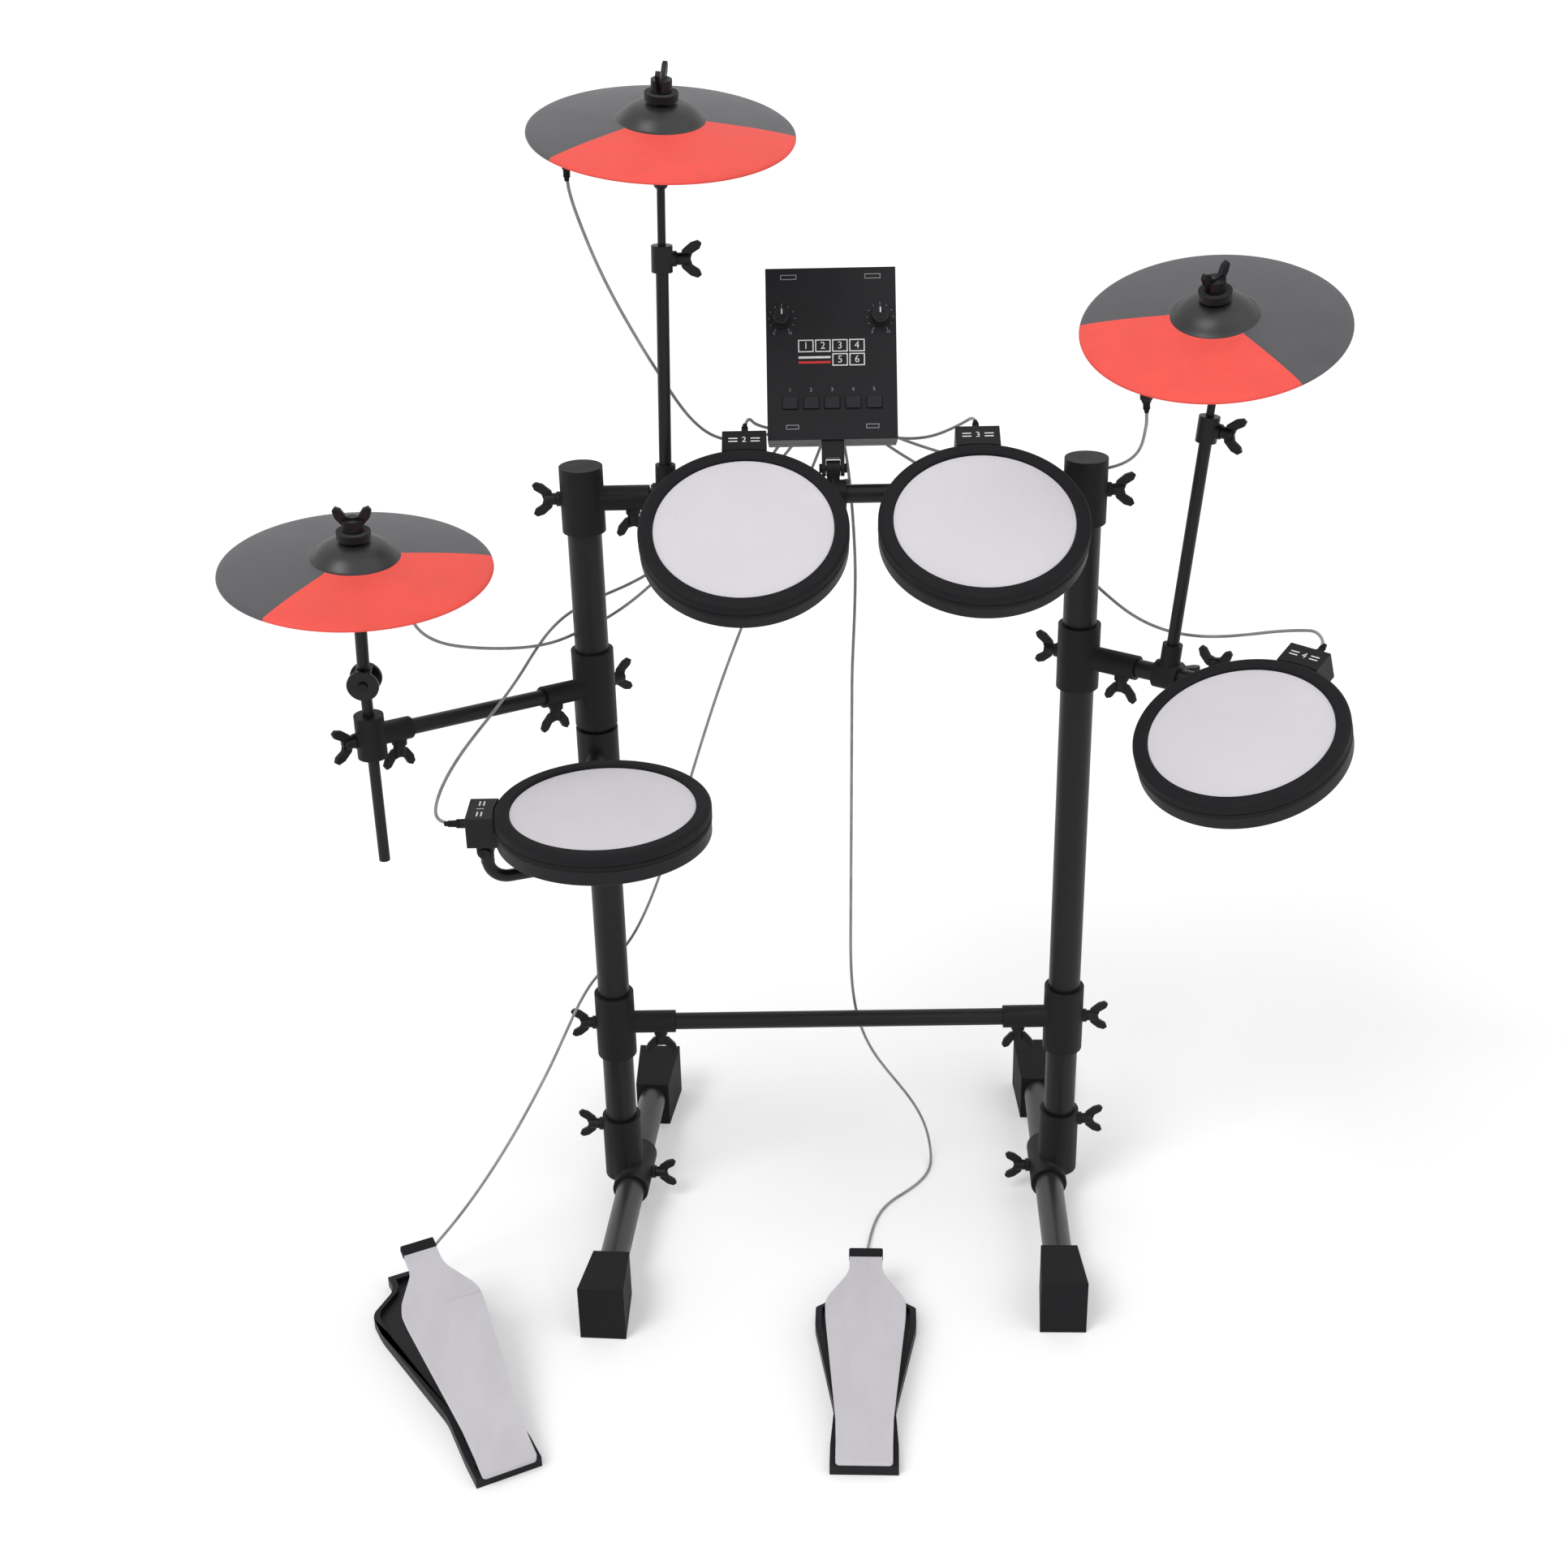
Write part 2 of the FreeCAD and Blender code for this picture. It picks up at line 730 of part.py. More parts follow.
def boot():
    """A rubber boot: a wedge that widens from the tube to the floor end, with a blind hole for the tube."""
    wedge = doc.addObject("Part::Wedge", "boot_wedge")
    for name, length in (
        ("Xmin", -(S.boot_width / 2)), ("Xmax", S.boot_width / 2),
        ("X2min", -(S.boot_back_width / 2)), ("X2max", S.boot_back_width / 2),
        ("Ymin", ZERO), ("Ymax", S.boot_length),
        ("Zmin", ZERO), ("Zmax", S.boot_height),
        ("Z2min", ZERO), ("Z2max", S.boot_back_height),
    ):
        wedge.setExpression(name, length.text)
    hole = bar(S.leg_width + S.fit_gap * 2, S.boot_length, point(ZERO, S.boot_wall, S.leg_height), AWAY)
    return cut(wedge, hole)


leg_back_gap = S.boot_wall + S.fit_gap
leg_tube = tube(S.leg_width, S.leg_wall, S.leg_front + S.leg_rear - leg_back_gap * 2, ORIGIN, AWAY)
boot_shape = boot()
leg_clamps = []
leg_tubes = []
boots = []
for side, post_x, turn in ((-1, LEFT_POST_X, S.left_leg_turn), (1, RIGHT_POST_X, S.right_leg_turn)):
    stand = place(at(post_x, ZERO, ZERO), spin(UP, turn))
    inset = S.leg_inset * -side
    leg_clamps.append((leg_clamp(side), stand))
    leg_tubes.append((leg_tube, stand * place(point(inset, leg_back_gap - S.leg_front, S.leg_height))))
    boots.append((boot_shape, stand * place(point(inset, -S.leg_front, ZERO))))
    boots.append((boot_shape, stand * place(point(inset, S.leg_rear, ZERO), TURNED_ROUND)))
rack_clamps += leg_clamps
node("leg_clamps", *[(piece, where) for (piece, seats), where in leg_clamps])
node("leg_tubes", *leg_tubes)
node("leg_boots", *boots)

# Clamps along the top bar: the crash stand's socket, and hinge eyes for two toms and the module

STAND_FLOOR = S.bar_width / 2 + S.bar_clamp_wall + S.fit_gap
crash_height = S.crash_tube_length + S.crash_rod_rise
ride_height = S.ride_tube_length + S.ride_rod_rise
crash_foot = at(S.crash_x, ZERO, top_bar_height)
crash_top = at(S.crash_top_x, S.crash_top_y, top_bar_height + STAND_FLOOR + crash_height)
crash_rise = (crash_top - crash_foot).normalize()
crash_roll = math.degrees(math.atan2(-crash_rise.y, crash_rise.z))
crash_slope = math.degrees(math.asin(crash_rise.x))
eye_z = top_bar_height + S.eye_height
bar_clamps = [(socket_clamp(crash_slope), place(crash_foot, spin(RIGHT, crash_roll)))]
eye_clamp_shape = eye_clamp()
for eye_x in (S.left_tom_x, S.right_tom_x, S.module_x):
    bar_clamps.append((eye_clamp_shape, place(at(eye_x, ZERO, top_bar_height))))
node("bar_clamps", *[(piece, where) for (piece, seats), where in bar_clamps])
rack_clamps += bar_clamps


# Pads

def pad_shell():
    floor = -S.pad_depth
    ledge = -(S.head_sink + S.head_thickness + S.pad_gap)
    rim_seat = -(S.rim_depth + S.pad_gap)
    inner_ring = S.rim_inner_width / 2 - S.pad_gap
    wall = S.pad_width / 2 - S.pad_wall_step
    dish = turned("pad_dish", [
        (ZERO, floor),
        (S.pad_floor_width / 2, floor),
        (wall, -S.pad_wall_depth),
        (wall, rim_seat),
        (inner_ring, rim_seat),
        (inner_ring, ledge),
        (S.pad_cavity_width / 2, ledge),
        (S.pad_cavity_width / 2, floor + S.pad_shell_wall),
        (ZERO, floor + S.pad_shell_wall),
    ])
    box_depth = S.pad_box_depth - S.pad_box_top
    box = block(S.pad_box_width, S.pad_box_reach - S.pad_box_inner, box_depth,
                point(-(S.pad_box_width / 2), S.pad_box_inner, -S.pad_box_depth))
    rim_room = bar(S.pad_width + S.pad_gap * 2, S.rim_depth + S.overrun, point(ZERO, ZERO, rim_seat))
    jack_z = -(S.pad_box_depth + S.pad_box_top) / 2
    jack = bar(S.jack_width, S.jack_length * 2, point(ZERO, S.pad_box_reach - S.jack_length, jack_z), AWAY)
    ears = shifted(fork(), place(PAD_PIN))
    return join(dish, cut(box, rim_room), jack, *ears)


def pad_rim():
    outer = S.pad_width / 2
    inner = S.rim_inner_width / 2 + S.pad_gap
    body = turned("pad_rim", [(inner, -S.rim_depth), (outer, -S.rim_depth), (outer, ZERO), (inner, ZERO)])
    top_edge = float(outer)
    return rounded(body, S.rim_round, lambda edge: is_ring(edge, top_edge, 0.0))


def is_ring(edge, radius, height):
    curve = edge.Curve
    if curve.TypeId != "Part::GeomCircle":
        return False
    return math.isclose(curve.Radius, radius) and math.isclose(curve.Center.z, height, abs_tol=curve.Radius / 1e6)


def pad_head():
    edge = S.rim_inner_width / 2 - S.pad_gap
    top = -S.head_sink
    bottom = -(S.head_sink + S.head_thickness)
    return turned("pad_head", [(ZERO, bottom), (edge, bottom), (edge, top), (ZERO, top)])


PAD_PIN = point(ZERO, S.pad_pin_reach, -(S.pad_box_depth + S.bridge_rise))
PAD_JACK = point(ZERO, S.pad_box_reach + S.jack_length, -(S.pad_box_depth + S.pad_box_top) / 2)
shell_shape = pad_shell()
rim_shape = pad_rim()
head_shape = pad_head()


def hung_pad(eye_place, turn, tilt):
    """The place of a pad whose pin lies in a known eye."""
    rotation = spin(UP, turn) * spin(RIGHT, tilt)
    return place(eye_place - rotation.multVec(PAD_PIN), rotation)


floor_rotation = spin(UP, S.floor_tom_turn) * spin(RIGHT, S.floor_tom_tilt)
hihat_arm_height = S.rack_height - S.hihat_arm_drop
floor_tom_height = S.rack_height - S.floor_tom_drop
# The snare's clamp sits on the same post, just under the hi-hat's.
snare_arm_height = hihat_arm_height - (S.hihat_clamp_height + S.snare_clamp_height) / 2 - S.clamp_spacing
snare_height = snare_arm_height + S.snare_riser + S.pad_box_depth + S.bridge_rise
pads = {
    "snare": place(at(S.snare_x, S.snare_y, snare_height), spin(UP, S.snare_turn)),
    "left_tom": hung_pad(at(S.left_tom_x, ZERO, eye_z), ZERO, S.left_tom_tilt),
    "right_tom": hung_pad(at(S.right_tom_x, ZERO, eye_z), ZERO, S.right_tom_tilt),
    "floor_tom": place(at(S.floor_tom_x, S.floor_tom_y, floor_tom_height), floor_rotation),
}
for name, where in pads.items():
    node(name + "_shell", (shell_shape, where))
    node(name + "_rim", (rim_shape, where))
    node(name + "_head", (head_shape, where))

# Snare arm: a rod that runs under the pad from the left post and rises to the pad's hinge

snare_pin = pads["snare"].multVec(PAD_PIN)
snare_foot = snare_pin - UP * float(S.snare_riser)
left_axis = at(LEFT_POST_X, ZERO, snare_foot.z)
snare_bend = at(S.snare_bend_x, S.snare_bend_y, snare_foot.z)
snare_way = (snare_bend - left_axis).normalize()
snare_clamp = post_clamp(
    S.post_width, S.clamp_wall, S.snare_clamp_height, S.rod_width, S.branch_length, S.turn_gap)
snare_clamp_place = place(left_axis, FreeCAD.Rotation(RIGHT, snare_way))
node("snare_clamp", (snare_clamp[0], snare_clamp_place))
node("snare_wing_bolts", *bolted([(snare_clamp, snare_clamp_place)]))
arm_start = clamp_outer / 2 + S.branch_length - S.branch_seat
snare_run = bent_bar("snare_run", [left_axis + snare_way * float(arm_start), snare_bend, snare_foot, snare_pin],
                     S.rod_width, float(S.rod_bend))


def eye_on_rod(rod, pin_place):
    """A hinge eye on the end of a rod, about the X of the pin's place."""
    solids, hole = eye(S.eye_round)
    shifted(solids + [hole], pin_place)
    return cut(join(rod, *solids), hole)


node("snare_rod", (eye_on_rod(snare_run, place(snare_pin, pads["snare"].Rotation)), place()))

# Right arm: a tube from the right post that carries the ride stand and ends in the floor tom's rod

floor_pin = pads["floor_tom"].multVec(PAD_PIN)
floor_foot = floor_pin - floor_rotation.multVec(UP) * float(S.floor_riser)
right_axis = at(RIGHT_POST_X, ZERO, floor_foot.z)
right_way = (floor_foot - right_axis).normalize()
right_turn = FreeCAD.Rotation(RIGHT, right_way)
right_clamp = post_clamp(
    S.post_width, S.clamp_wall, S.right_clamp_height, S.bar_width, S.branch_length, S.turn_gap)
right_arm_start = right_axis + right_way * float(arm_start)
right_arm_end = arm_start + S.right_arm_length
node("right_arm", (tube(S.bar_width, S.bar_wall, S.right_arm_length, right_arm_start, right_way), place()))

ride_foot = right_axis + right_way * float(S.ride_reach)
ride_top = at(S.ride_top_x, S.ride_top_y, measured(floor_foot.z) + STAND_FLOOR + ride_height)
ride_rise = (ride_top - ride_foot).normalize()
ride_local = right_turn.inverted().multVec(ride_rise)
ride_roll = math.degrees(math.atan2(-ride_local.y, ride_local.z))
ride_slope = math.degrees(math.asin(ride_local.x))


def arm_collar():
    """A collar that closes the arm's end round the floor tom's rod."""
    outer = S.bar_width + S.branch_wall * 2
    start = point(right_arm_end - S.arm_collar_overlap, ZERO, ZERO)
    middle = right_arm_end - S.arm_collar_overlap / 2
    reach = outer / 2 + S.bolt_boss_height
    seat = place(point(middle, ZERO, reach), facing(UP))
    body = join(
        bar(outer, S.arm_collar_length, start, RIGHT),
        bar(S.bolt_boss_width, reach, point(middle, ZERO, ZERO), UP),
    )
    collar = cut(
        body,
        bar(S.bar_width + S.fit_gap * 2, S.arm_collar_overlap + S.overrun + S.fit_gap,
            start - point(S.overrun, ZERO, ZERO), RIGHT),
        bar(S.rod_width + S.fit_gap * 2, S.arm_collar_length + S.overrun, start, RIGHT),
        bolt_hole(seat, S.branch_wall + S.bolt_boss_height),
    )
    return collar, [seat]


right_clamps = [
    (right_clamp, place(right_axis, right_turn)),
    (socket_clamp(ride_slope), place(ride_foot, right_turn * spin(RIGHT, ride_roll))),
    (arm_collar(), place(right_axis, right_turn)),
]
node("right_clamps", *[(piece, where) for (piece, seats), where in right_clamps])
floor_start = right_axis + right_way * float(right_arm_end - S.branch_seat)
floor_run = bent_bar("floor_run", [floor_start, floor_foot, floor_pin], S.rod_width, float(S.rod_bend))
node("floor_rod", (eye_on_rod(floor_run, place(floor_pin, floor_rotation)), place()))


# Cymbal stands: a tube with a collar and a wing bolt, and a rod that slides in it

def stand_tube(length):
    top = STAND_FLOOR + length
    reach = S.collar_width / 2 + S.bolt_boss_height
    bolt_z = top - S.collar_height / 2
    seat = place(point(reach, ZERO, bolt_z), facing(RIGHT))
    body = join(
        bar(S.stand_width, length, point(ZERO, ZERO, STAND_FLOOR)),
        bar(S.collar_width, S.collar_height, point(ZERO, ZERO, top - S.collar_height)),
        bar(S.bolt_boss_width, reach, point(ZERO, ZERO, bolt_z), RIGHT),
    )
    bore = bar(S.stand_rod_width + S.slide_gap * 2, length, point(ZERO, ZERO, STAND_FLOOR + S.socket_wall))
    wall = (S.collar_width - S.stand_rod_width) / 2 - S.slide_gap
    return cut(body, bore, bolt_hole(seat, wall + S.bolt_boss_height)), [seat]


def cymbal_rod(foot, top, tube_length, stem, way):
    """A rod in its tube up to a knuckle, then a stem that leans with its cymbal and carries the seat."""
    rise = (top - foot).normalize()
    tube_top = foot + rise * float(STAND_FLOOR + tube_length)
    below = tube_top - rise * float(S.rod_engagement)
    centre = top + way * float(stem)
    return join(
        bar(S.stand_rod_width, measured((top - below).Length), below, rise),
        ball(S.knuckle_width, top),
        bar(S.stand_rod_width, stem + S.stem_end, top, way),
        ball(S.seat_ball_width, centre + way * float(S.seat_ball_height)),
    )


# Cymbal pads and the felt and wing nut on top of each

def cymbal_disc():
    edge = S.cymbal_width / 2
    foot = S.bell_width / 2
    middle = foot + (edge - foot) * BOW_MIDDLE_SHARE
    middle_top = S.cymbal_bow * BOW_MIDDLE_RISE_SHARE
    hole = S.cymbal_hole / 2
    bell_floor = S.bell_height * BELL_FLOOR_SHARE
    disc = turned("cymbal_disc", [
        (hole, S.bell_height),
        (S.bell_crown_width / 2, S.bell_height),
        (S.bell_shoulder_width / 2, S.bell_shoulder),
        (foot, S.cymbal_bow),
        (middle, middle_top),
        (edge, ZERO),
        (edge, -S.cymbal_edge),
        (middle, middle_top - S.cymbal_skin),
        (foot - S.cymbal_skin, S.cymbal_bow - S.cymbal_skin),
        (S.bell_shoulder_width / 2 - S.cymbal_skin, S.bell_shoulder - S.cymbal_skin),
        (S.bell_crown_width / 2 - S.cymbal_skin, bell_floor),
        (hole, bell_floor),
    ])
    socket = ball(S.seat_ball_width + S.turn_gap * 2, point(ZERO, ZERO, S.seat_ball_height))
    return cut(disc, socket)


def disc_middle(reach):
    """The height of the middle of the disc's skin at a distance from its axis."""
    edge = float(S.cymbal_width) / 2
    foot = float(S.bell_width) / 2
    middle = foot + (edge - foot) * BOW_MIDDLE_SHARE
    middle_top = float(S.cymbal_bow) * BOW_MIDDLE_RISE_SHARE
    if reach > middle:
        top = middle_top * (edge - reach) / (edge - middle)
    else:
        top = middle_top + (float(S.cymbal_bow) - middle_top) * (middle - reach) / (middle - foot)
    return top - float(S.cymbal_skin) / 2


def cymbal_jack(reach, angle):
    turn = math.radians(float(angle))
    return point(float(reach) * math.cos(turn), float(reach) * math.sin(turn), disc_middle(float(reach)))


def topper():
    bore = S.stand_rod_width / 2 + S.fit_gap
    rim = S.felt_width / 2
    floor = S.bell_height + S.felt_gap
    felt = turned("cymbal_felt", [
        (bore, floor + bore * FELT_SLOPE_SHARE),
        (rim, floor + rim * FELT_SLOPE_SHARE),
        (rim, S.felt_top),
        (bore, S.felt_top),
    ])
    nut_top = S.stem_end + S.nut_cap
    hub = bar(S.nut_width, nut_top - S.felt_top, point(ZERO, ZERO, S.felt_top))
    wings = moved(wing_plate("wing_nut_wings"), place(point(ZERO, ZERO, S.felt_top)))
    hole = bar(bore * 2, S.stem_end + S.fit_gap - S.felt_top + S.overrun, point(ZERO, ZERO, S.felt_top - S.overrun))
    return felt, cut(join(hub, wings), hole)


disc_shape = cymbal_disc()
felt_shape, nut_shape = topper()


def cymbal(name, centre, way, reach, angle, nut_turn):
    """Makes a cymbal pad and its topper, and gives the end of its jack and the way a cord leaves it."""
    where = place(centre, facing(way))
    start = cymbal_jack(reach, angle)
    jack = bar(S.cymbal_jack_width, S.cymbal_jack_length, start, -UP)
    node(name + "_cymbal", (join(disc_shape, jack), where))
    node(name + "_topper", (felt_shape, where), (nut_shape, where * place(ORIGIN, spin(UP, nut_turn))))
    hinge("%s_swing" % name, where.multVec(point(ZERO, ZERO, S.seat_ball_height)), where.Rotation.multVec(RIGHT))
    return where.multVec(start - UP * float(S.cymbal_jack_length)), -way


crash_way = leaning(S.crash_lean, S.crash_heading)
crash_tube, crash_seats = stand_tube(S.crash_tube_length)
crash_stand_place = bar_clamps[0][1] * place(ORIGIN, spin(AWAY, crash_slope))
node("crash_tube", (crash_tube, crash_stand_place))
rack_clamps.append(((crash_tube, crash_seats), crash_stand_place))
node("crash_rod", (cymbal_rod(crash_foot, crash_top, S.crash_tube_length, S.crash_stem, crash_way), place()))
crash_centre = crash_top + crash_way * float(S.crash_stem)
crash_jack = cymbal("crash", crash_centre, crash_way, S.crash_jack_reach, S.crash_jack_angle, S.crash_nut_turn)

ride_way = leaning(S.ride_lean, S.ride_heading)
ride_tube, ride_seats = stand_tube(S.ride_tube_length)
ride_stand_place = right_clamps[1][1] * place(ORIGIN, spin(AWAY, ride_slope))
node("ride_tube", (ride_tube, ride_stand_place))
node("right_wing_bolts", *bolted(right_clamps + [((ride_tube, ride_seats), ride_stand_place)]))
node("ride_rod", (cymbal_rod(ride_foot, ride_top, S.ride_tube_length, S.ride_stem, ride_way), place()))
ride_centre = ride_top + ride_way * float(S.ride_stem)
ride_jack = cymbal("ride", ride_centre, ride_way, S.ride_jack_reach, S.ride_jack_angle, S.ride_nut_turn)

# Hi-hat: an arm from the left post, a rod in a clamp at its end, and a tilter that carries the cymbal

hihat_axis = at(LEFT_POST_X, ZERO, hihat_arm_height)
hihat_flat = at(S.hihat_rod_x, S.hihat_rod_y, hihat_arm_height) - hihat_axis
hihat_turn = FreeCAD.Rotation(RIGHT, hihat_flat)
hihat_way = hihat_turn.multVec(spin(AWAY, -S.hihat_arm_rise).multVec(RIGHT))
hihat_reach = hihat_flat.Length / math.cos(math.radians(float(S.hihat_arm_rise)))
hihat_clamp = post_clamp(
    S.post_width, S.clamp_wall, S.hihat_clamp_height, S.hihat_arm_width, S.branch_length, S.turn_gap, S.hihat_arm_rise)
rod_clamp = post_clamp(
    S.hihat_rod_width, S.rod_clamp_wall, S.rod_clamp_height, S.hihat_arm_width, S.rod_clamp_branch, S.slide_gap,
    -S.hihat_arm_rise)
hihat_clamps = [
    (hihat_clamp, place(hihat_axis, hihat_turn)),
    (rod_clamp, place(hihat_axis + hihat_way * hihat_reach, hihat_turn * TURNED_ROUND)),
]
node("hihat_clamps", *[(piece, where) for (piece, seats), where in hihat_clamps])
node("hihat_wing_bolts", *bolted(hihat_clamps))
rod_clamp_stop = S.hihat_rod_width / 2 + S.rod_clamp_wall + S.branch_stop + S.fit_gap
hihat_arm_length = measured(hihat_reach) - arm_start - rod_clamp_stop
hihat_arm_start = hihat_axis + hihat_way * float(arm_start)
node("hihat_arm", (tube(S.hihat_arm_width, S.hihat_arm_wall, hihat_arm_length, hihat_arm_start, hihat_way), place()))

hihat_knuckle = at(S.hihat_rod_x, S.hihat_rod_y, hihat_arm_height + S.hihat_knuckle_rise)
hihat_stem_way = leaning(S.hihat_lean, S.hihat_heading)
hihat_pin_place = place(hihat_knuckle, facing(hihat_stem_way) * spin(UP, S.hihat_pin_turn))
rod_foot = at(S.hihat_rod_x, S.hihat_rod_y, hihat_arm_height - S.hihat_rod_drop)
hihat_rod = bar(S.hihat_rod_width, S.hihat_knuckle_rise + S.hihat_rod_drop - S.eye_round, rod_foot)
node("hihat_rod", (eye_on_rod(hihat_rod, hihat_pin_place), place()))
hihat_centre = hihat_knuckle + hihat_stem_way * float(S.hihat_stem)
hihat_tilter = join(
    *shifted(fork(S.tilter_ear_width), hihat_pin_place),
    bar(S.tilter_sleeve_width, S.hihat_stem - S.bridge_rise - S.tilter_sleeve_gap,
        hihat_knuckle + hihat_stem_way * float(S.bridge_rise), hihat_stem_way),
    bar(S.stand_rod_width, S.hihat_stem + S.stem_end - S.bridge_rise,
        hihat_knuckle + hihat_stem_way * float(S.bridge_rise), hihat_stem_way),
    ball(S.seat_ball_width, hihat_centre + hihat_stem_way * float(S.seat_ball_height)),
)
node("hihat_tilter", (hihat_tilter, place()))
hihat_jack = cymbal(
    "hihat", hihat_centre, hihat_stem_way, S.hihat_jack_reach, S.hihat_jack_angle, S.hihat_nut_turn)

# Sound module: a front case and a rear cover, hinged at the foot, with knobs and buttons

MODULE_PIN = point(ZERO, -S.module_pin_drop, -S.module_pin_depth)
module_turn = spin(RIGHT, S.module_tilt)
module_place = place(at(S.module_x, ZERO, eye_z) - module_turn.multVec(MODULE_PIN), module_turn)
MODULE_DEPTH = S.case_depth + S.cover_depth
BUTTON_XS = [S.button_pitch * (index - (COUNT_OF_BUTTONS - 1) / 2) for index in range(COUNT_OF_BUTTONS)]
JACK_XS = [S.module_jack_pitch * (index - (COUNT_OF_MODULE_JACKS - 1) / 2) for index in range(COUNT_OF_MODULE_JACKS)]


def centred_block(length, width, height, x, y, z):
    """A block centred on x and y, standing on z."""
    return block(length, width, height, point(x - length / 2, y - width / 2, z))


def module_case():
    body = centred_block(S.module_width, S.module_height, S.case_depth, ZERO, ZERO, -S.case_depth)
    wall = S.case_wall
    tools = [centred_block(S.module_width - wall * 2, S.module_height - wall * 2, S.case_depth - wall + S.overrun,
                           ZERO, ZERO, -(S.case_depth + S.overrun))]
    through = wall + S.overrun * 2
    foot = -(wall + S.overrun)
    for x in BUTTON_XS:
        tools.append(centred_block(S.button_width + S.button_gap * 2, S.button_height + S.button_gap * 2, through,
                                   x, S.button_row, foot))
    for x in (-S.knob_x, S.knob_x):
        tools.append(bar(S.knob_shaft_width + S.turn_gap * 2, through, point(x, S.knob_row, foot)))
    ears = shifted(fork(), place(MODULE_PIN, spin(RIGHT, -90)))
    lug_foot = S.bridge_rise - S.module_pin_drop
    lug_top = wall - S.module_height / 2
    lug_width = (S.eye_width / 2 + S.turn_gap + S.ear_thickness) * 2
    lug = block(lug_width, lug_top - lug_foot, S.eye_round,
                point(-(lug_width / 2), lug_foot, -(S.module_pin_depth + S.eye_round / 2)))
    return join(cut(body, *tools), lug, *ears)


def module_cover():
    wall = S.case_wall
    body = centred_block(S.module_width, S.module_height, S.cover_depth, ZERO, ZERO, -MODULE_DEPTH)
    hollow = centred_block(S.module_width - wall * 2, S.module_height - wall * 2, S.cover_depth - wall + S.overrun,
                           ZERO, ZERO, wall - MODULE_DEPTH)
    jacks = [bar(S.jack_width, wall + S.jack_length, point(x, S.module_jack_row, wall - MODULE_DEPTH), -UP)
             for x in JACK_XS]
    return join(cut(body, hollow), *jacks)


def button():
    flange_width = S.button_width + S.case_wall
    flange_height = S.button_height + S.case_wall
    flange_thickness = S.case_wall / 2
    flange_top = -(S.case_wall + S.button_gap)
    return join(
        centred_block(S.button_width, S.button_height, S.button_proud - flange_top, ZERO, ZERO, flange_top),
        centred_block(flange_width, flange_height, flange_thickness, ZERO, ZERO, flange_top - flange_thickness),
    )


def knob():
    shaft = S.knob_shaft_width / 2
    skirt = S.knob_width / 2
    foot = -(S.case_wall * 2)
    body = turned("knob_shape", [
        (ZERO, foot), (shaft, foot), (shaft, S.knob_foot), (skirt, S.knob_foot), (skirt, S.knob_height),
        (ZERO, S.knob_height),
    ])
    return body


node("module_case", (module_case(), module_place))
node("module_cover", (module_cover(), module_place))
button_shape = button()
module_front = module_turn.multVec(UP)
for number, x in enumerate(BUTTON_XS, 1):
    button_place = module_place * place(point(x, S.button_row, ZERO))
    node("module_button_%d" % number, (button_shape, button_place))
    hinge("module_button_%d_press" % number, button_place.Base, module_front)
knob_shape = knob()
for label, x in (("left_knob", -S.knob_x), ("right_knob", S.knob_x)):
    knob_place = module_place * place(point(x, S.knob_row, ZERO))
    node(label, (knob_shape, knob_place))
    hinge(label + "_turn", knob_place.Base, module_front)


# Pedals: a tray with hinge lugs at the heel and a footboard on a pin

def tapered(name, stations, widths, thickness):
    right = [(width / 2, along) for along, width in zip(stations, widths)]
    left = [(-across, along) for across, along in reversed(right)]
    return plate(name, right + left, thickness)


def board_under(rest, travel):
    """The height of the footboard's underside over the bumper when it is pressed."""
    pressed = math.radians(float(rest) - float(travel))
    along = float(S.bumper_y - S.pedal_pin_y) - float(S.bumper_width) / 2
    return float(S.pedal_pin_z) + along * math.tan(pressed) + float(S.board_rise) / math.cos(pressed)


def pedal_base(name, length, rest, travel):
    stations = [length * share for share in PEDAL_STATION_SHARES]
    widths = [S.pedal_heel_width, S.pedal_heel_width, S.pedal_waist_width, S.pedal_shoulder_width,
              S.pedal_shoulder_width, S.pedal_neck_width, S.pedal_neck_width]
    inner = [S.pedal_wall] + stations[1:-1] + [length - S.pedal_wall]
    tray = tapered(name + "_tray", stations, widths, S.pedal_wall_height)
    room = tapered(name + "_room", inner, [width - S.pedal_wall * 2 for width in widths], S.pedal_wall_height)
    start = S.barrel_length / 2 + S.turn_gap
    lugs = []
    for left in (start, -(start + S.pedal_lug_thickness)):
        lugs.append(bar(S.pedal_lug_round, S.pedal_lug_thickness, point(left, S.pedal_pin_y, S.pedal_pin_z), RIGHT))
        corner = point(left, S.pedal_pin_y - S.pedal_lug_round / 2, ZERO)
        lugs.append(block(S.pedal_lug_thickness, S.pedal_lug_round, S.pedal_pin_z, corner))
    stop = board_under(rest, travel) - float(S.pad_gap)
    bumper = bar(S.bumper_width, measured(stop), point(ZERO, S.bumper_y, ZERO))
    jack_start = S.pedal_length - S.pedal_wall
    jack = bar(S.pedal_jack_width, S.pedal_wall + S.pedal_jack_length,
               point(ZERO, jack_start, S.pedal_jack_rise), AWAY)
    jack_box = block(S.pedal_neck_width, S.jack_box_length, S.jack_box_height,
                     point(-(S.pedal_neck_width / 2), S.pedal_length - S.jack_box_length, ZERO))
    pin_reach = start + S.pedal_lug_thickness + S.overrun
    hole = bar(S.pedal_pin_width + S.fit_gap * 2, pin_reach * 2,
               point(-pin_reach, S.pedal_pin_y, S.pedal_pin_z), RIGHT)
    hollow_tray = cut(tray, moved(room, place(point(ZERO, ZERO, S.pedal_floor))))
    return cut(join(hollow_tray, bumper, jack_box, jack, *lugs), hole)


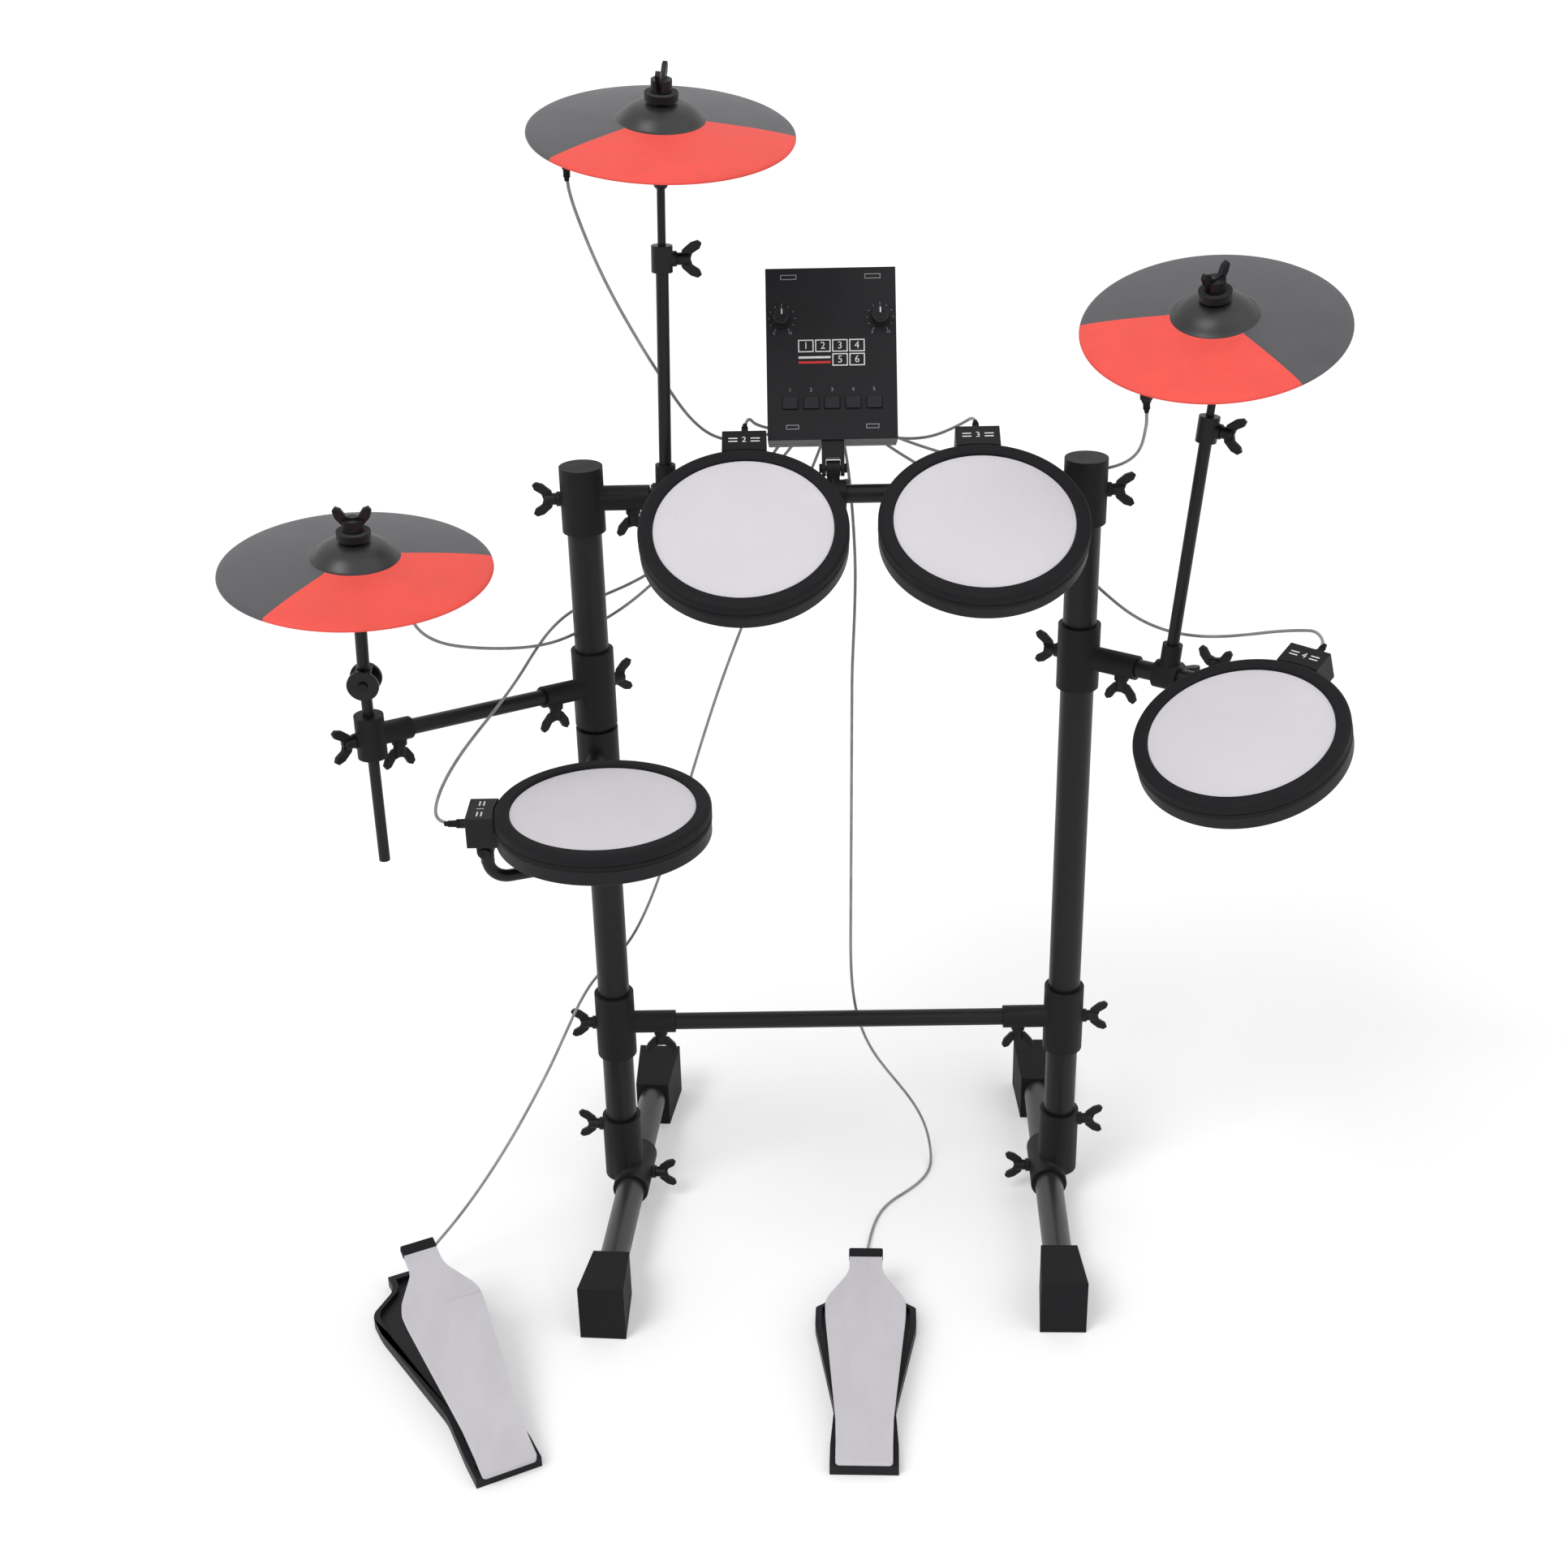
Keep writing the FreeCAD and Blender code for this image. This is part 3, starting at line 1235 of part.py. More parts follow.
def footboard():
    stations = [(S.board_length + S.board_back) * share - S.board_back for share in BOARD_STATION_SHARES]
    widths = [S.board_heel_width, S.board_heel_width, S.board_waist_width, S.board_shoulder_width,
              S.board_shoulder_width, S.board_neck_width, S.board_neck_width]
    top = moved(tapered("footboard_top", stations, widths, S.board_thickness),
                place(point(ZERO, ZERO, S.board_rise)))
    start = point(-(S.barrel_length / 2), ZERO, ZERO)
    barrel = bar(S.barrel_width, S.barrel_length, start, RIGHT)
    web = block(S.barrel_length, S.barrel_width / 2, S.board_rise + S.board_thickness / 2,
                point(-(S.barrel_length / 2), -(S.barrel_width / 4), ZERO))
    hole = bar(S.pedal_pin_width + S.pin_gap * 2, S.barrel_length + S.overrun * 2,
               start - point(S.overrun, ZERO, ZERO), RIGHT)
    return cut(join(top, barrel, web), hole)


pin_half = S.barrel_length / 2 + S.turn_gap + S.pedal_lug_thickness
pedal_pin = bar(S.pedal_pin_width, pin_half * 2, point(-pin_half, ZERO, ZERO), RIGHT)
board_shape = footboard()
pedals = {
    "kick": (S.kick_x, S.kick_y, S.kick_turn, S.pedal_length, S.kick_rest, S.kick_travel),
    "hihat_pedal": (S.hihat_pedal_x, S.hihat_pedal_y, S.hihat_pedal_turn, S.hihat_pedal_length,
                    S.hihat_pedal_rest, S.hihat_pedal_travel),
}
pedal_pins = []
pedal_jacks = {}
for name, (x, y, turn, length, rest, travel) in pedals.items():
    stand = place(at(x, y, ZERO), spin(UP, turn))
    pin_place = stand * place(point(ZERO, S.pedal_pin_y, S.pedal_pin_z))
    node(name + "_base", (pedal_base(name, length, rest, travel), stand))
    node(name + "_board", (board_shape, pin_place * place(ORIGIN, spin(RIGHT, rest))))
    pedal_pins.append((pedal_pin, pin_place))
    jack_tip = S.pedal_length + S.pedal_jack_length
    pedal_jacks[name] = (stand.multVec(point(ZERO, jack_tip, S.pedal_jack_rise)), stand.Rotation.multVec(AWAY))
    hinge(name + "_press", pin_place.Base, pin_place.Rotation.multVec(RIGHT))
node("pedal_pins", *pedal_pins)
node("wing_bolts", *bolted(rack_clamps))

# Cords: from a jack on the module's back to each pad, cymbal and pedal; points are from the rack's middle,
# drawn for a rack and stands this high, and follow them

ROUTE_RACK_HEIGHT = 899.0
ROUTE_CRASH_HEIGHT = 294.35
ROUTE_RIDE_HEIGHT = 282.394
ROUTES = {
    "crash": [(-58, 84, 906), (-72, 89, 899), (-91, 83, 897), (-110, 69, 902), (-126, 52, 914), (-140, 38, 931),
              (-153, 27, 952), (-166, 19, 977), (-181, 10, 1006), (-196, 0, 1038), (-211, -10, 1072),
              (-225, -20, 1109), (-236, -29, 1145), (-242, -35, 1168)],
    "hihat": [(-45, 86, 904), (-56, 94, 886), (-74, 90, 863), (-97, 78, 840), (-123, 64, 815), (-152, 51, 790),
              (-183, 41, 763), (-212, 36, 739), (-240, 30, 722), (-267, 16, 714), (-290, -10, 713),
              (-314, -42, 721), (-338, -73, 733), (-362, -101, 746), (-384, -125, 760), (-399, -142, 776),
              (-407, -154, 794), (-408, -163, 813)],
    "snare": [(-33, 88, 901), (-44, 98, 882), (-63, 99, 860), (-88, 90, 838), (-116, 77, 816), (-146, 64, 794),
              (-178, 54, 773), (-211, 46, 756), (-245, 39, 744), (-275, 23, 735), (-295, -3, 725),
              (-309, -34, 713), (-320, -66, 702), (-331, -99, 694), (-342, -132, 688), (-353, -165, 683),
              (-364, -198, 677), (-374, -228, 668), (-381, -254, 657), (-382, -273, 647)],
    "left_tom": [(-24, 85, 909), (-38, 89, 905), (-54, 83, 907), (-68, 70, 914), (-79, 54, 923), (-84, 39, 934)],
    "right_tom": [(27, 86, 907), (43, 93, 899), (63, 93, 894), (84, 87, 894), (104, 76, 900), (121, 63, 911),
                  (134, 50, 922), (141, 37, 931)],
    "floor_tom": [(37, 86, 905), (50, 95, 891), (71, 98, 875), (97, 93, 860), (126, 84, 846), (155, 74, 832),
                  (184, 64, 817), (211, 54, 800), (237, 44, 781), (261, 34, 761), (283, 21, 743), (303, 5, 730),
                  (324, -11, 722), (347, -24, 718), (371, -35, 718), (395, -46, 722), (419, -58, 729),
                  (442, -73, 738), (462, -91, 746), (474, -104, 750)],
    "ride": [(50, 86, 906), (64, 95, 895), (86, 99, 885), (112, 95, 877), (140, 88, 871), (169, 79, 867),
             (198, 69, 865), (226, 58, 865), (252, 44, 869), (275, 28, 877), (291, 7, 889), (298, -19, 905),
             (299, -47, 922), (297, -76, 940), (294, -103, 958), (292, -121, 969)],
    "kick": [(9, 87, 905), (13, 97, 886), (17, 99, 859), (20, 91, 827), (22, 77, 795), (23, 62, 763),
             (22, 48, 729), (20, 37, 693), (18, 29, 656), (14, 20, 318), (15, 20, 280), (19, 21, 244),
             (27, 25, 210), (39, 32, 178), (54, 42, 148), (70, 54, 118), (85, 66, 88), (97, 75, 60),
             (105, 79, 35), (109, 75, 16), (110, 64, 5), (108, 49, 2), (102, 32, 2), (91, 15, 2), (77, 0, 2),
             (62, -14, 2), (49, -31, 2), (40, -52, 2), (34, -75, 2), (30, -99, 3), (27, -122, 7)],
    "hihat_pedal": [(-6, 87, 905), (-11, 98, 886), (-21, 101, 860), (-36, 95, 828), (-55, 83, 791),
                    (-75, 69, 753), (-93, 56, 714), (-110, 45, 674), (-126, 36, 633), (-141, 29, 590),
                    (-155, 25, 547), (-169, 22, 503), (-183, 20, 459), (-198, 20, 416), (-214, 21, 375),
                    (-232, 24, 338), (-254, 27, 309), (-277, 18, 290), (-293, -6, 272), (-307, -31, 249),
                    (-323, -56, 222), (-342, -79, 193), (-363, -100, 162), (-386, -117, 130), (-410, -129, 98),
                    (-434, -137, 68), (-456, -144, 44), (-472, -153, 26), (-479, -165, 15)],
}


def pad_jack(name):
    return pads[name].multVec(PAD_JACK), pads[name].Rotation.multVec(AWAY)


CORD_ENDS = {
    "crash": crash_jack,
    "hihat": hihat_jack,
    "snare": pad_jack("snare"),
    "left_tom": pad_jack("left_tom"),
    "hihat_pedal": pedal_jacks["hihat_pedal"],
    "kick": pedal_jacks["kick"],
    "right_tom": pad_jack("right_tom"),
    "floor_tom": pad_jack("floor_tom"),
    "ride": ride_jack,
}
JACK_DEPTH = MODULE_DEPTH + S.jack_length
stub = float(S.cord_stub)
stretch = float(S.rack_height) / ROUTE_RACK_HEIGHT
lifts = {"crash": float(crash_height) - ROUTE_CRASH_HEIGHT, "ride": float(ride_height) - ROUTE_RIDE_HEIGHT}


def followed(name):
    """A cord's points, each lifted with its cymbal by more the nearer it is."""
    points = ROUTES[name]
    lift = lifts.get(name, float(ZERO))
    shares = [(i / (len(points) - 1)) ** 2 for i in range(len(points))]
    return [at(x, y, z * stretch + lift * share) for (x, y, z), share in zip(points, shares)]


cords = {}
for jack_x, (name, (end, end_way)) in zip(JACK_XS, CORD_ENDS.items()):
    start = module_place.multVec(point(jack_x, S.module_jack_row, -JACK_DEPTH))
    route = [start, start - module_front * stub] + followed(name) + [end + end_way * stub, end]
    cords[name] = bent_bar(name + "_cord", route, S.cord_width)
pedal_names = ("hihat_pedal", "kick")
node("pad_cords", *[(cord, place()) for name, cord in cords.items() if name not in pedal_names])
node("pedal_cords", *[(cords[name], place()) for name in pedal_names])

hinge("crash_height", crash_foot, crash_rise)
hinge("ride_height", ride_foot, ride_rise)
hinge("right_arm_swivel", right_axis, UP)
hinge("hihat_arm_swivel", hihat_axis, UP)
hinge("hihat_height", rod_foot, UP)
hinge("hihat_tilt", hihat_knuckle, hihat_pin_place.Rotation.multVec(RIGHT))
hinge("snare_arm_swivel", left_axis, UP)
for name, where in pads.items():
    hinge(name + "_tilt", where.multVec(PAD_PIN), where.Rotation.multVec(RIGHT))
hinge("module_tilt", module_place.multVec(MODULE_PIN), RIGHT)

doc.recompute()
os.makedirs("parts", exist_ok=True)
for piece in doc.Objects:
    if "Invalid" in piece.State or "Error" in piece.State:
        raise RuntimeError("%s failed: %s" % (piece.Label, piece.State))
for piece in nodes:
    if piece.Shape.isNull() or not piece.Shape.isValid() or not piece.Shape.Solids:
        raise RuntimeError(piece.Label + " is not a sound solid")
for piece in nodes:
    piece.Shape.exportStep("parts/%s.step" % piece.Label)

for name, centre, axis in pivots:
    print("pivot %-24s %9.3f %9.3f %9.3f   %9.6f %9.6f %9.6f" % (name, *centre, *axis))
box = Part.makeCompound([piece.Shape for piece in nodes]).BoundBox
print("nodes %d" % len(nodes))
print("box", [round(value, 1) for value in (box.XMin, box.XMax, box.YMin, box.YMax, box.ZMin, box.ZMax)])
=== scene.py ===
"""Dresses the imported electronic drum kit: rack, cymbal pads, drum pads, sound module, pedals and cords."""

import json
import math

import bmesh
import bpy
from bpy.props import FloatProperty, FloatVectorProperty, IntProperty, PointerProperty
from bpy.types import Operator, Panel, PropertyGroup
from mathutils import Matrix, Vector


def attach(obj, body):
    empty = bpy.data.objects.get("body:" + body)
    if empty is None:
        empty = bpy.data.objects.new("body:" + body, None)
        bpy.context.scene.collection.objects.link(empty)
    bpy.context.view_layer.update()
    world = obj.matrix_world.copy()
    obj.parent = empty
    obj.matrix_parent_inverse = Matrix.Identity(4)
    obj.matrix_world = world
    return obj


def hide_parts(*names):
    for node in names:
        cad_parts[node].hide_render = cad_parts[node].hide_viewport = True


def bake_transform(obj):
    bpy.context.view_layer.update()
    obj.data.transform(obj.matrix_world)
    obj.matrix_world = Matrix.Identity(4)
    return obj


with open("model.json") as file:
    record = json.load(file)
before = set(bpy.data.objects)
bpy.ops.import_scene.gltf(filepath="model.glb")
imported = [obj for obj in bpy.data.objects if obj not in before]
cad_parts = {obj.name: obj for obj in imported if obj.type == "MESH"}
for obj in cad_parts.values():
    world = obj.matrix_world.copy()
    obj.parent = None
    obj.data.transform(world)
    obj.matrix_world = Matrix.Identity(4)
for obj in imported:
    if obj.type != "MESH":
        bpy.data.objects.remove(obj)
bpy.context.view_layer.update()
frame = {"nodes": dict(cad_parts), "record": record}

bl_info = {
    "name": "Electronic Drum Kit",
    "version": (1, 0, 0),
    "blender": (4, 5, 0),
    "location": "View3D > Sidebar > Drum Kit",
    "description": "Finishes the rack, pads, cymbal pads, module, pedals and cords of a drum kit",
    "category": "Object",
}

MM = 0.001
# Points nearer to each other than this are one point.
MERGE = 0.00001
BODIES = frame["record"]["behaviour"]["bodies"]
BODY_OF = {node: body for body, members in BODIES.items() for node in members}
UP = Vector((0, 0, 1))


def linear(code):
    """A colour written as sRGB hex, as the linear values that Blender works in."""
    channels = [int(code[i:i + 2], 16) / 255 for i in (0, 2, 4)]
    return [c / 12.92 if c <= 0.04045 else ((c + 0.055) / 1.055) ** 2.4 for c in channels] + [1.0]


# Places are in millimetres from the middle of the rack, as in the CAD source; the module's hinge lies
# over that middle.

JOINTS = {joint["name"]: joint for joint in frame["record"]["behaviour"]["joints"]}
RACK_MIDDLE = Vector((*JOINTS["module_tilt"]["pos_m"][:2], 0.0))


def at(x, y, z):
    """A place on the rack, in the scene's metres."""
    return Vector((x, y, z)) * MM + RACK_MIDDLE


def shift(x, y, z):
    """A move in millimetres."""
    return Matrix.Translation(Vector((x, y, z)) * MM)


def turned(axis, degrees):
    """A turn round one of the axes."""
    return Matrix.Rotation(math.radians(degrees), 4, axis)


def leaning(lean, heading):
    """The way in which a stem points: how far it leans, and to which side, in degrees."""
    lean, heading = math.radians(lean), math.radians(heading)
    return Vector((math.sin(lean) * math.cos(heading), math.sin(lean) * math.sin(heading), math.cos(lean)))


def pointing(way):
    """The turn that points the Z axis in a way."""
    return UP.rotation_difference(way).to_matrix().to_4x4()


EYE_HEIGHT = 892.0
PAD_JACK_HEIGHT = -16.75
PAD_PIN = Vector((0.0, 112.0, -42.0)) * MM
PAD_JACK = Vector((0.0, 135.0, PAD_JACK_HEIGHT)) * MM


def hung_pad(x, tilt):
    """The frame of a pad whose hinge pin lies in an eye on the top bar."""
    tip = turned("X", tilt)
    return Matrix.Translation(at(x, 0, EYE_HEIGHT) - tip @ PAD_PIN) @ tip


PADS = {
    "snare": Matrix.Translation(at(-222, -281, 659)) @ turned("Z", 90),
    "left_tom": hung_pad(-88, 29),
    "right_tom": hung_pad(143, 27),
    "floor_tom": Matrix.Translation(at(376.5, -238.5, 707)) @ turned("Z", -43) @ turned("X", 21.8),
}


def cymbal_frame(top, stem, lean, heading):
    """The frame of a cymbal pad: its axis is the stem's, and its origin the middle of its edge."""
    way = leaning(lean, heading)
    return Matrix.Translation(at(*top) + way * stem * MM) @ pointing(way)


# Each cymbal's frame, its jack's reach and angle, and the coral playing zone's first and last angle.
CYMBALS = {
    "crash": (cymbal_frame((-161, 12, 1174), 50, 11, -71.4), (97, 209), (220, 360)),
    "ride": (cymbal_frame((366.3, -51.2, 982.5), 70, 18.3, -109.8), (108, 226), (168, 298)),
    "hihat": (cymbal_frame((-452, -190, 750), 120, 5.7, -57.8), (52, 35), (240, 376)),
}
CYMBAL_EDGE, CYMBAL_BOW_MIDDLE, CYMBAL_BELL_FOOT = 127.0, 84.5, 42.0
CYMBAL_BOW_RISE, CYMBAL_BOW, CYMBAL_SKIN = 6.82, 11.0, 4.0
CYMBAL_JACK_LENGTH = 22.0


def cymbal_jack(reach, angle):
    """Where a jack starts in the middle of a cymbal's skin."""
    if reach > CYMBAL_BOW_MIDDLE:
        top = CYMBAL_BOW_RISE * (CYMBAL_EDGE - reach) / (CYMBAL_EDGE - CYMBAL_BOW_MIDDLE)
    else:
        share = (CYMBAL_BOW_MIDDLE - reach) / (CYMBAL_BOW_MIDDLE - CYMBAL_BELL_FOOT)
        top = CYMBAL_BOW_RISE + (CYMBAL_BOW - CYMBAL_BOW_RISE) * share
    turn = math.radians(angle)
    return Vector((reach * math.cos(turn), reach * math.sin(turn), top - CYMBAL_SKIN / 2)) * MM


MODULE_TURN = turned("X", 63)
MODULE_PIN = Vector((0, -113, -11)) * MM
MODULE = Matrix.Translation(at(0, 0, EYE_HEIGHT) - MODULE_TURN @ MODULE_PIN) @ MODULE_TURN
MODULE_BACK = -42.0
MODULE_JACK_ROW, MODULE_JACK_DEPTH, MODULE_JACK_PITCH = -50.0, 50.0, 12.0

# Each pedal's frame on the floor, and the angle at which its board rests.
PEDALS = {
    "kick": (Matrix.Translation(at(15, -459, 0)) @ turned("Z", -2), 6.5),
    "hihat_pedal": (Matrix.Translation(at(-338, -456.5, 0)) @ turned("Z", 26.5), 16.5),
}
PEDAL_PIN = Vector((0, 16, 12)) * MM
PEDAL_JACK = Vector((0, 295, 12)) * MM


# Sizes and colours that a user would change


def length(name, description, default):
    return FloatProperty(name=name, description=description, default=default, min=0.0, unit="LENGTH",
                         precision=5)


def colour(name, description, code):
    return FloatVectorProperty(name=name, description=description, default=linear(code), size=4, min=0.0,
                               max=1.0, subtype="COLOR")


class DrumKitSizes(PropertyGroup):
    moulded_round: length("Moulded edge", "Rounding on the edges of moulded plastic pieces", 0.0012)
    metal_round: length("Metal edge", "Rounding on the edges of bolts, rods and tubes", 0.0005)
    rubber_round: length("Rubber edge", "Rounding on the edges of the rubber boots", 0.004)
    board_round: length("Footboard edge", "Rounding on the edges of the footboards", 0.0022)
    plan_round: length("Pedal bends", "Rounding where the outline of a pedal bends", 0.009)
    end_round: length("Pedal corners", "Rounding on the corners at a pedal's ends", 0.004)
    rim_round: length("Pad rim", "Rounding on the outer top edge of a pad's rim", 0.0042)
    cord_width: length("Cord width", "Outside width of the cords", 0.0032)
    cord_stub: length("Cord stub", "Straight length of cord at each jack", 0.015)
    ridge_pitch: length("Cymbal ridges", "Spacing of the ridges round a cymbal pad", 0.0026)
    weave_pitch: length("Head weave", "Spacing of the threads of a pad's head", 0.0016)
    knob_flutes: IntProperty(name="Knob flutes", description="Flutes round each knob", default=24, min=6)


class DrumKitColours(PropertyGroup):
    paint: colour("Rack paint", "Paint on the rack's posts, bars, rods and arms", "100F12")
    nylon: colour("Clamps", "Moulded clamps", "0F0E11")
    leg_paint: colour("Leg paint", "Paint on the leg tubes", "2C292B")
    abs_black: colour("Pad shells", "Moulded shells of the pads and pedal bases", "161518")
    rubber: colour("Pad rims", "Rubber rims and boots", "131215")
    head: colour("Heads", "Playing surface of the pads", "DCD9DE")
    cymbal: colour("Cymbal pads", "Rubber of the cymbal pads", "4A494D")
    coral: colour("Playing zone", "Coral zone of the cymbal pads", "F2564C")
    module: colour("Module", "Case of the sound module", "141317")
    board: colour("Footboards", "Plastic of the footboards", "CBC8CD")
    cord: colour("Cords", "Jacket of the cords", "908F92")
    ink: colour("Print", "Printed marks", "E4E2E4")
    dim_ink: colour("Small print", "Small printed marks", "8E8D90")


# Materials


def per(size):
    """The scale of a texture whose features are that large, in metres."""
    return 1.0 / size


def add(tree, kind, settings=(), inputs=()):
    """Adds a node, sets its own settings, and sets or links its inputs."""
    node = tree.nodes.new(kind)
    for key, value in dict(settings).items():
        setattr(node, key, value)
    for key, value in dict(inputs).items():
        if isinstance(value, bpy.types.NodeSocket):
            tree.links.new(value, node.inputs[key])
        else:
            node.inputs[key].default_value = value
    return node


def shaded(base, share):
    """A colour made lighter or darker by a share of itself."""
    return [min(1.0, c * share) for c in base[:3]] + [1.0]


def shine(level, ior=1.5):
    """The sockets that say how strongly a material mirrors."""
    return {"Specular IOR Level": level, "IOR": ior}


def finish(name, base, contrast, patch, grain, depth, rough, sockets=(), stretch=(1, 1, 1)):
    """A material whose colour and gloss drift over patches, with a grain in relief; sizes in millimetres."""
    material = bpy.data.materials.new(name)
    material.use_nodes = True
    tree = material.node_tree
    shader = tree.nodes["Principled BSDF"]
    for key, value in dict(sockets).items():
        shader.inputs[key].default_value = value
    spot = add(tree, "ShaderNodeTexCoord").outputs["Object"]
    drawn = add(tree, "ShaderNodeMapping", inputs={"Vector": spot, "Scale": stretch}).outputs["Vector"]
    patches = add(tree, "ShaderNodeTexNoise", inputs={
        "Vector": drawn, "Scale": per(patch * MM), "Detail": 5.0, "Roughness": 0.62})
    fade = add(tree, "ShaderNodeMapRange", {"interpolation_type": "SMOOTHSTEP"}, {
        "Value": patches.outputs["Fac"], "From Min": 0.32, "From Max": 0.68})
    tint = add(tree, "ShaderNodeMix", {"data_type": "RGBA"}, {
        0: fade.outputs["Result"], 6: shaded(base, 1 - contrast), 7: shaded(base, 1 + contrast)})
    gloss = add(tree, "ShaderNodeMapRange", inputs={
        "Value": patches.outputs["Fac"], "From Min": 0.3, "From Max": 0.7,
        "To Min": rough[0], "To Max": rough[1]})
    grains = add(tree, "ShaderNodeTexNoise", inputs={
        "Vector": spot, "Scale": per(grain * MM), "Detail": 3.0, "Roughness": 0.55})
    relief = add(tree, "ShaderNodeBump", inputs={
        "Strength": 0.6, "Distance": depth * MM, "Height": grains.outputs["Fac"]})
    tree.links.new(tint.outputs[2], shader.inputs["Base Color"])
    tree.links.new(gloss.outputs["Result"], shader.inputs["Roughness"])
    tree.links.new(relief.outputs["Normal"], shader.inputs["Normal"])
    return material


def shader_of(material):
    return material.node_tree.nodes["Principled BSDF"]


def engrave(material, height, depth):
    """Adds a relief over the grain that a material already has."""
    tree, shader = material.node_tree, shader_of(material)
    under = shader.inputs["Normal"].links[0].from_socket
    relief = add(tree, "ShaderNodeBump", inputs={
        "Strength": 1.0, "Distance": depth * MM, "Height": height, "Normal": under})
    tree.links.new(relief.outputs["Normal"], shader.inputs["Normal"])


def local_place(tree, frame_of):
    """Object coordinates measured in a piece's own frame."""
    spot = add(tree, "ShaderNodeTexCoord").outputs["Object"]
    own = add(tree, "ShaderNodeMapping", {"vector_type": "TEXTURE"}, {
        "Vector": spot, "Location": frame_of.to_translation(), "Rotation": frame_of.to_euler()})
    return own.outputs["Vector"]


def waves(tree, place, pitch, settings):
    """Rings or bands at a pitch in metres; the texture's own pitch is a tenth of pi."""
    return add(tree, "ShaderNodeTexWave", {"wave_profile": "SIN", **settings}, {
        "Vector": place, "Scale": math.pi / 10 / pitch, "Distortion": 0.0}).outputs["Fac"]


def ridged(material, frame_of, pitch, depth):
    """Fine ridges round a cymbal pad, as its mould leaves them; a little wider than real, to show."""
    tree = material.node_tree
    rings = {"wave_type": "RINGS", "rings_direction": "Z"}
    engrave(material, waves(tree, local_place(tree, frame_of), pitch, rings), depth)


def woven(material, frame_of, pitch, depth):
    """The crossing threads of a mesh head; real threads are half as wide, too fine to show."""
    tree = material.node_tree
    place = local_place(tree, frame_of)
    threads = [waves(tree, place, pitch, {"wave_type": "BANDS", "bands_direction": way})
               for way in ("X", "Y")]
    crossed = add(tree, "ShaderNodeMath", {"operation": "MAXIMUM"}, {0: threads[0], 1: threads[1]})
    engrave(material, crossed.outputs["Value"], depth)


FINISHES = {}


def make_finishes():
    c = bpy.context.scene.drum_kit_colours
    dull = shine(0.22)
    # Powder paint on steel: a soft sheen with a fine orange-peel, drawn at 1.4 mm.
    FINISHES["paint"] = finish("powder_coated_steel", c.paint, 0.16, 90, 1.4, 0.05, (0.34, 0.46), shine(0.27))
    # The leg tubes have a thinner, greyer coat that catches more light.
    FINISHES["leg_paint"] = finish("satin_painted_steel", c.leg_paint, 0.14, 70, 1.2, 0.04, (0.3, 0.42),
                                   shine(0.5))
    # Glass-filled nylon: matt, with a spark-eroded grain.
    FINISHES["nylon"] = finish("glass_filled_nylon", c.nylon, 0.2, 45, 0.7, 0.06, (0.5, 0.62), dull)
    # Black zinc on steel: dark metal with small bright changes of gloss.
    FINISHES["zinc"] = finish("black_zinc_steel", linear("1E1D20"), 0.22, 12, 0.5, 0.02, (0.38, 0.54),
                              {"Metallic": 0.7})
    # Polished and turned steel for the pins.
    FINISHES["steel"] = finish("turned_steel", linear("A9A8AA"), 0.08, 6, 0.3, 0.01, (0.22, 0.34),
                               {"Metallic": 1.0})
    # ABS with a leather-like moulded grain.
    FINISHES["abs"] = finish("moulded_abs", c.abs_black, 0.16, 60, 0.9, 0.07, (0.44, 0.56), dull)
    # Rubber: very matt, with a little dust in its pores.
    FINISHES["rubber"] = finish("moulded_rubber", c.rubber, 0.2, 35, 0.6, 0.08, (0.66, 0.82), dull)
    # The cymbal pads' bells: darker rubber from a polished mould, with a broad shine.
    FINISHES["bell"] = finish("glossy_moulded_rubber", linear("1D1C1F"), 0.15, 30, 0.8, 0.03, (0.34, 0.44),
                              shine(0.45, 1.52))
    # Wool felt: fuzzy fibres and a soft edge.
    FINISHES["felt"] = finish("wool_felt", linear("151416"), 0.3, 8, 0.8, 0.3, (0.9, 1.0),
                              {"Sheen Weight": 0.25, "Sheen Roughness": 0.5, "Specular IOR Level": 0.1})
    # The module's ABS: black, with a finer grain than the pads and a little more sheen.
    FINISHES["module"] = finish("textured_abs", c.module, 0.14, 80, 0.8, 0.05, (0.4, 0.52), dull)
    # Knobs and buttons: softer, slightly lighter mouldings than the case that they stand on.
    FINISHES["knob"] = finish("soft_touch_plastic", linear("1F1E21"), 0.15, 14, 0.4, 0.03, (0.48, 0.6),
                              dull)
    FINISHES["button"] = finish("silicone_rubber", linear("242326"), 0.12, 10, 0.5, 0.03, (0.55, 0.66),
                                dull)
    # Grey ABS with a stipple for grip, and scuffs from shoes along the board.
    FINISHES["board"] = finish("stippled_abs", c.board, 0.045, 55, 1.1, 0.12, (0.46, 0.6), shine(0.4),
                               (1, 0.35, 1))
    # PVC jacket: smooth, with a slight shine.
    FINISHES["cord"] = finish("pvc_jacket", c.cord, 0.18, 25, 0.6, 0.02, (0.36, 0.48),
                              {"Specular IOR Level": 0.4})
    # Screen print: flat and opaque, white for the large marks, grey for the small ones, red for a rule.
    for key, name, base in (("ink", "screen_ink", c.ink), ("dim_ink", "grey_screen_ink", c.dim_ink),
                            ("red_ink", "red_screen_ink", linear("D8342F"))):
        FINISHES[key] = finish(name, base, 0.06, 5, 0.5, 0.01, (0.5, 0.6), {"Specular IOR Level": 0.3})


# Building pieces

# Angles in degrees: faces that are flat to each other, edges at the ends of a round bar, and the bends and
# corners in a pedal's outline.
FLAT_ANGLE, BAR_END_ANGLE = 0.4, 50.0
BEND_ANGLES, CORNER_ANGLES = (4, 65), (65, 120)
UPRIGHT_SHARE = 0.99
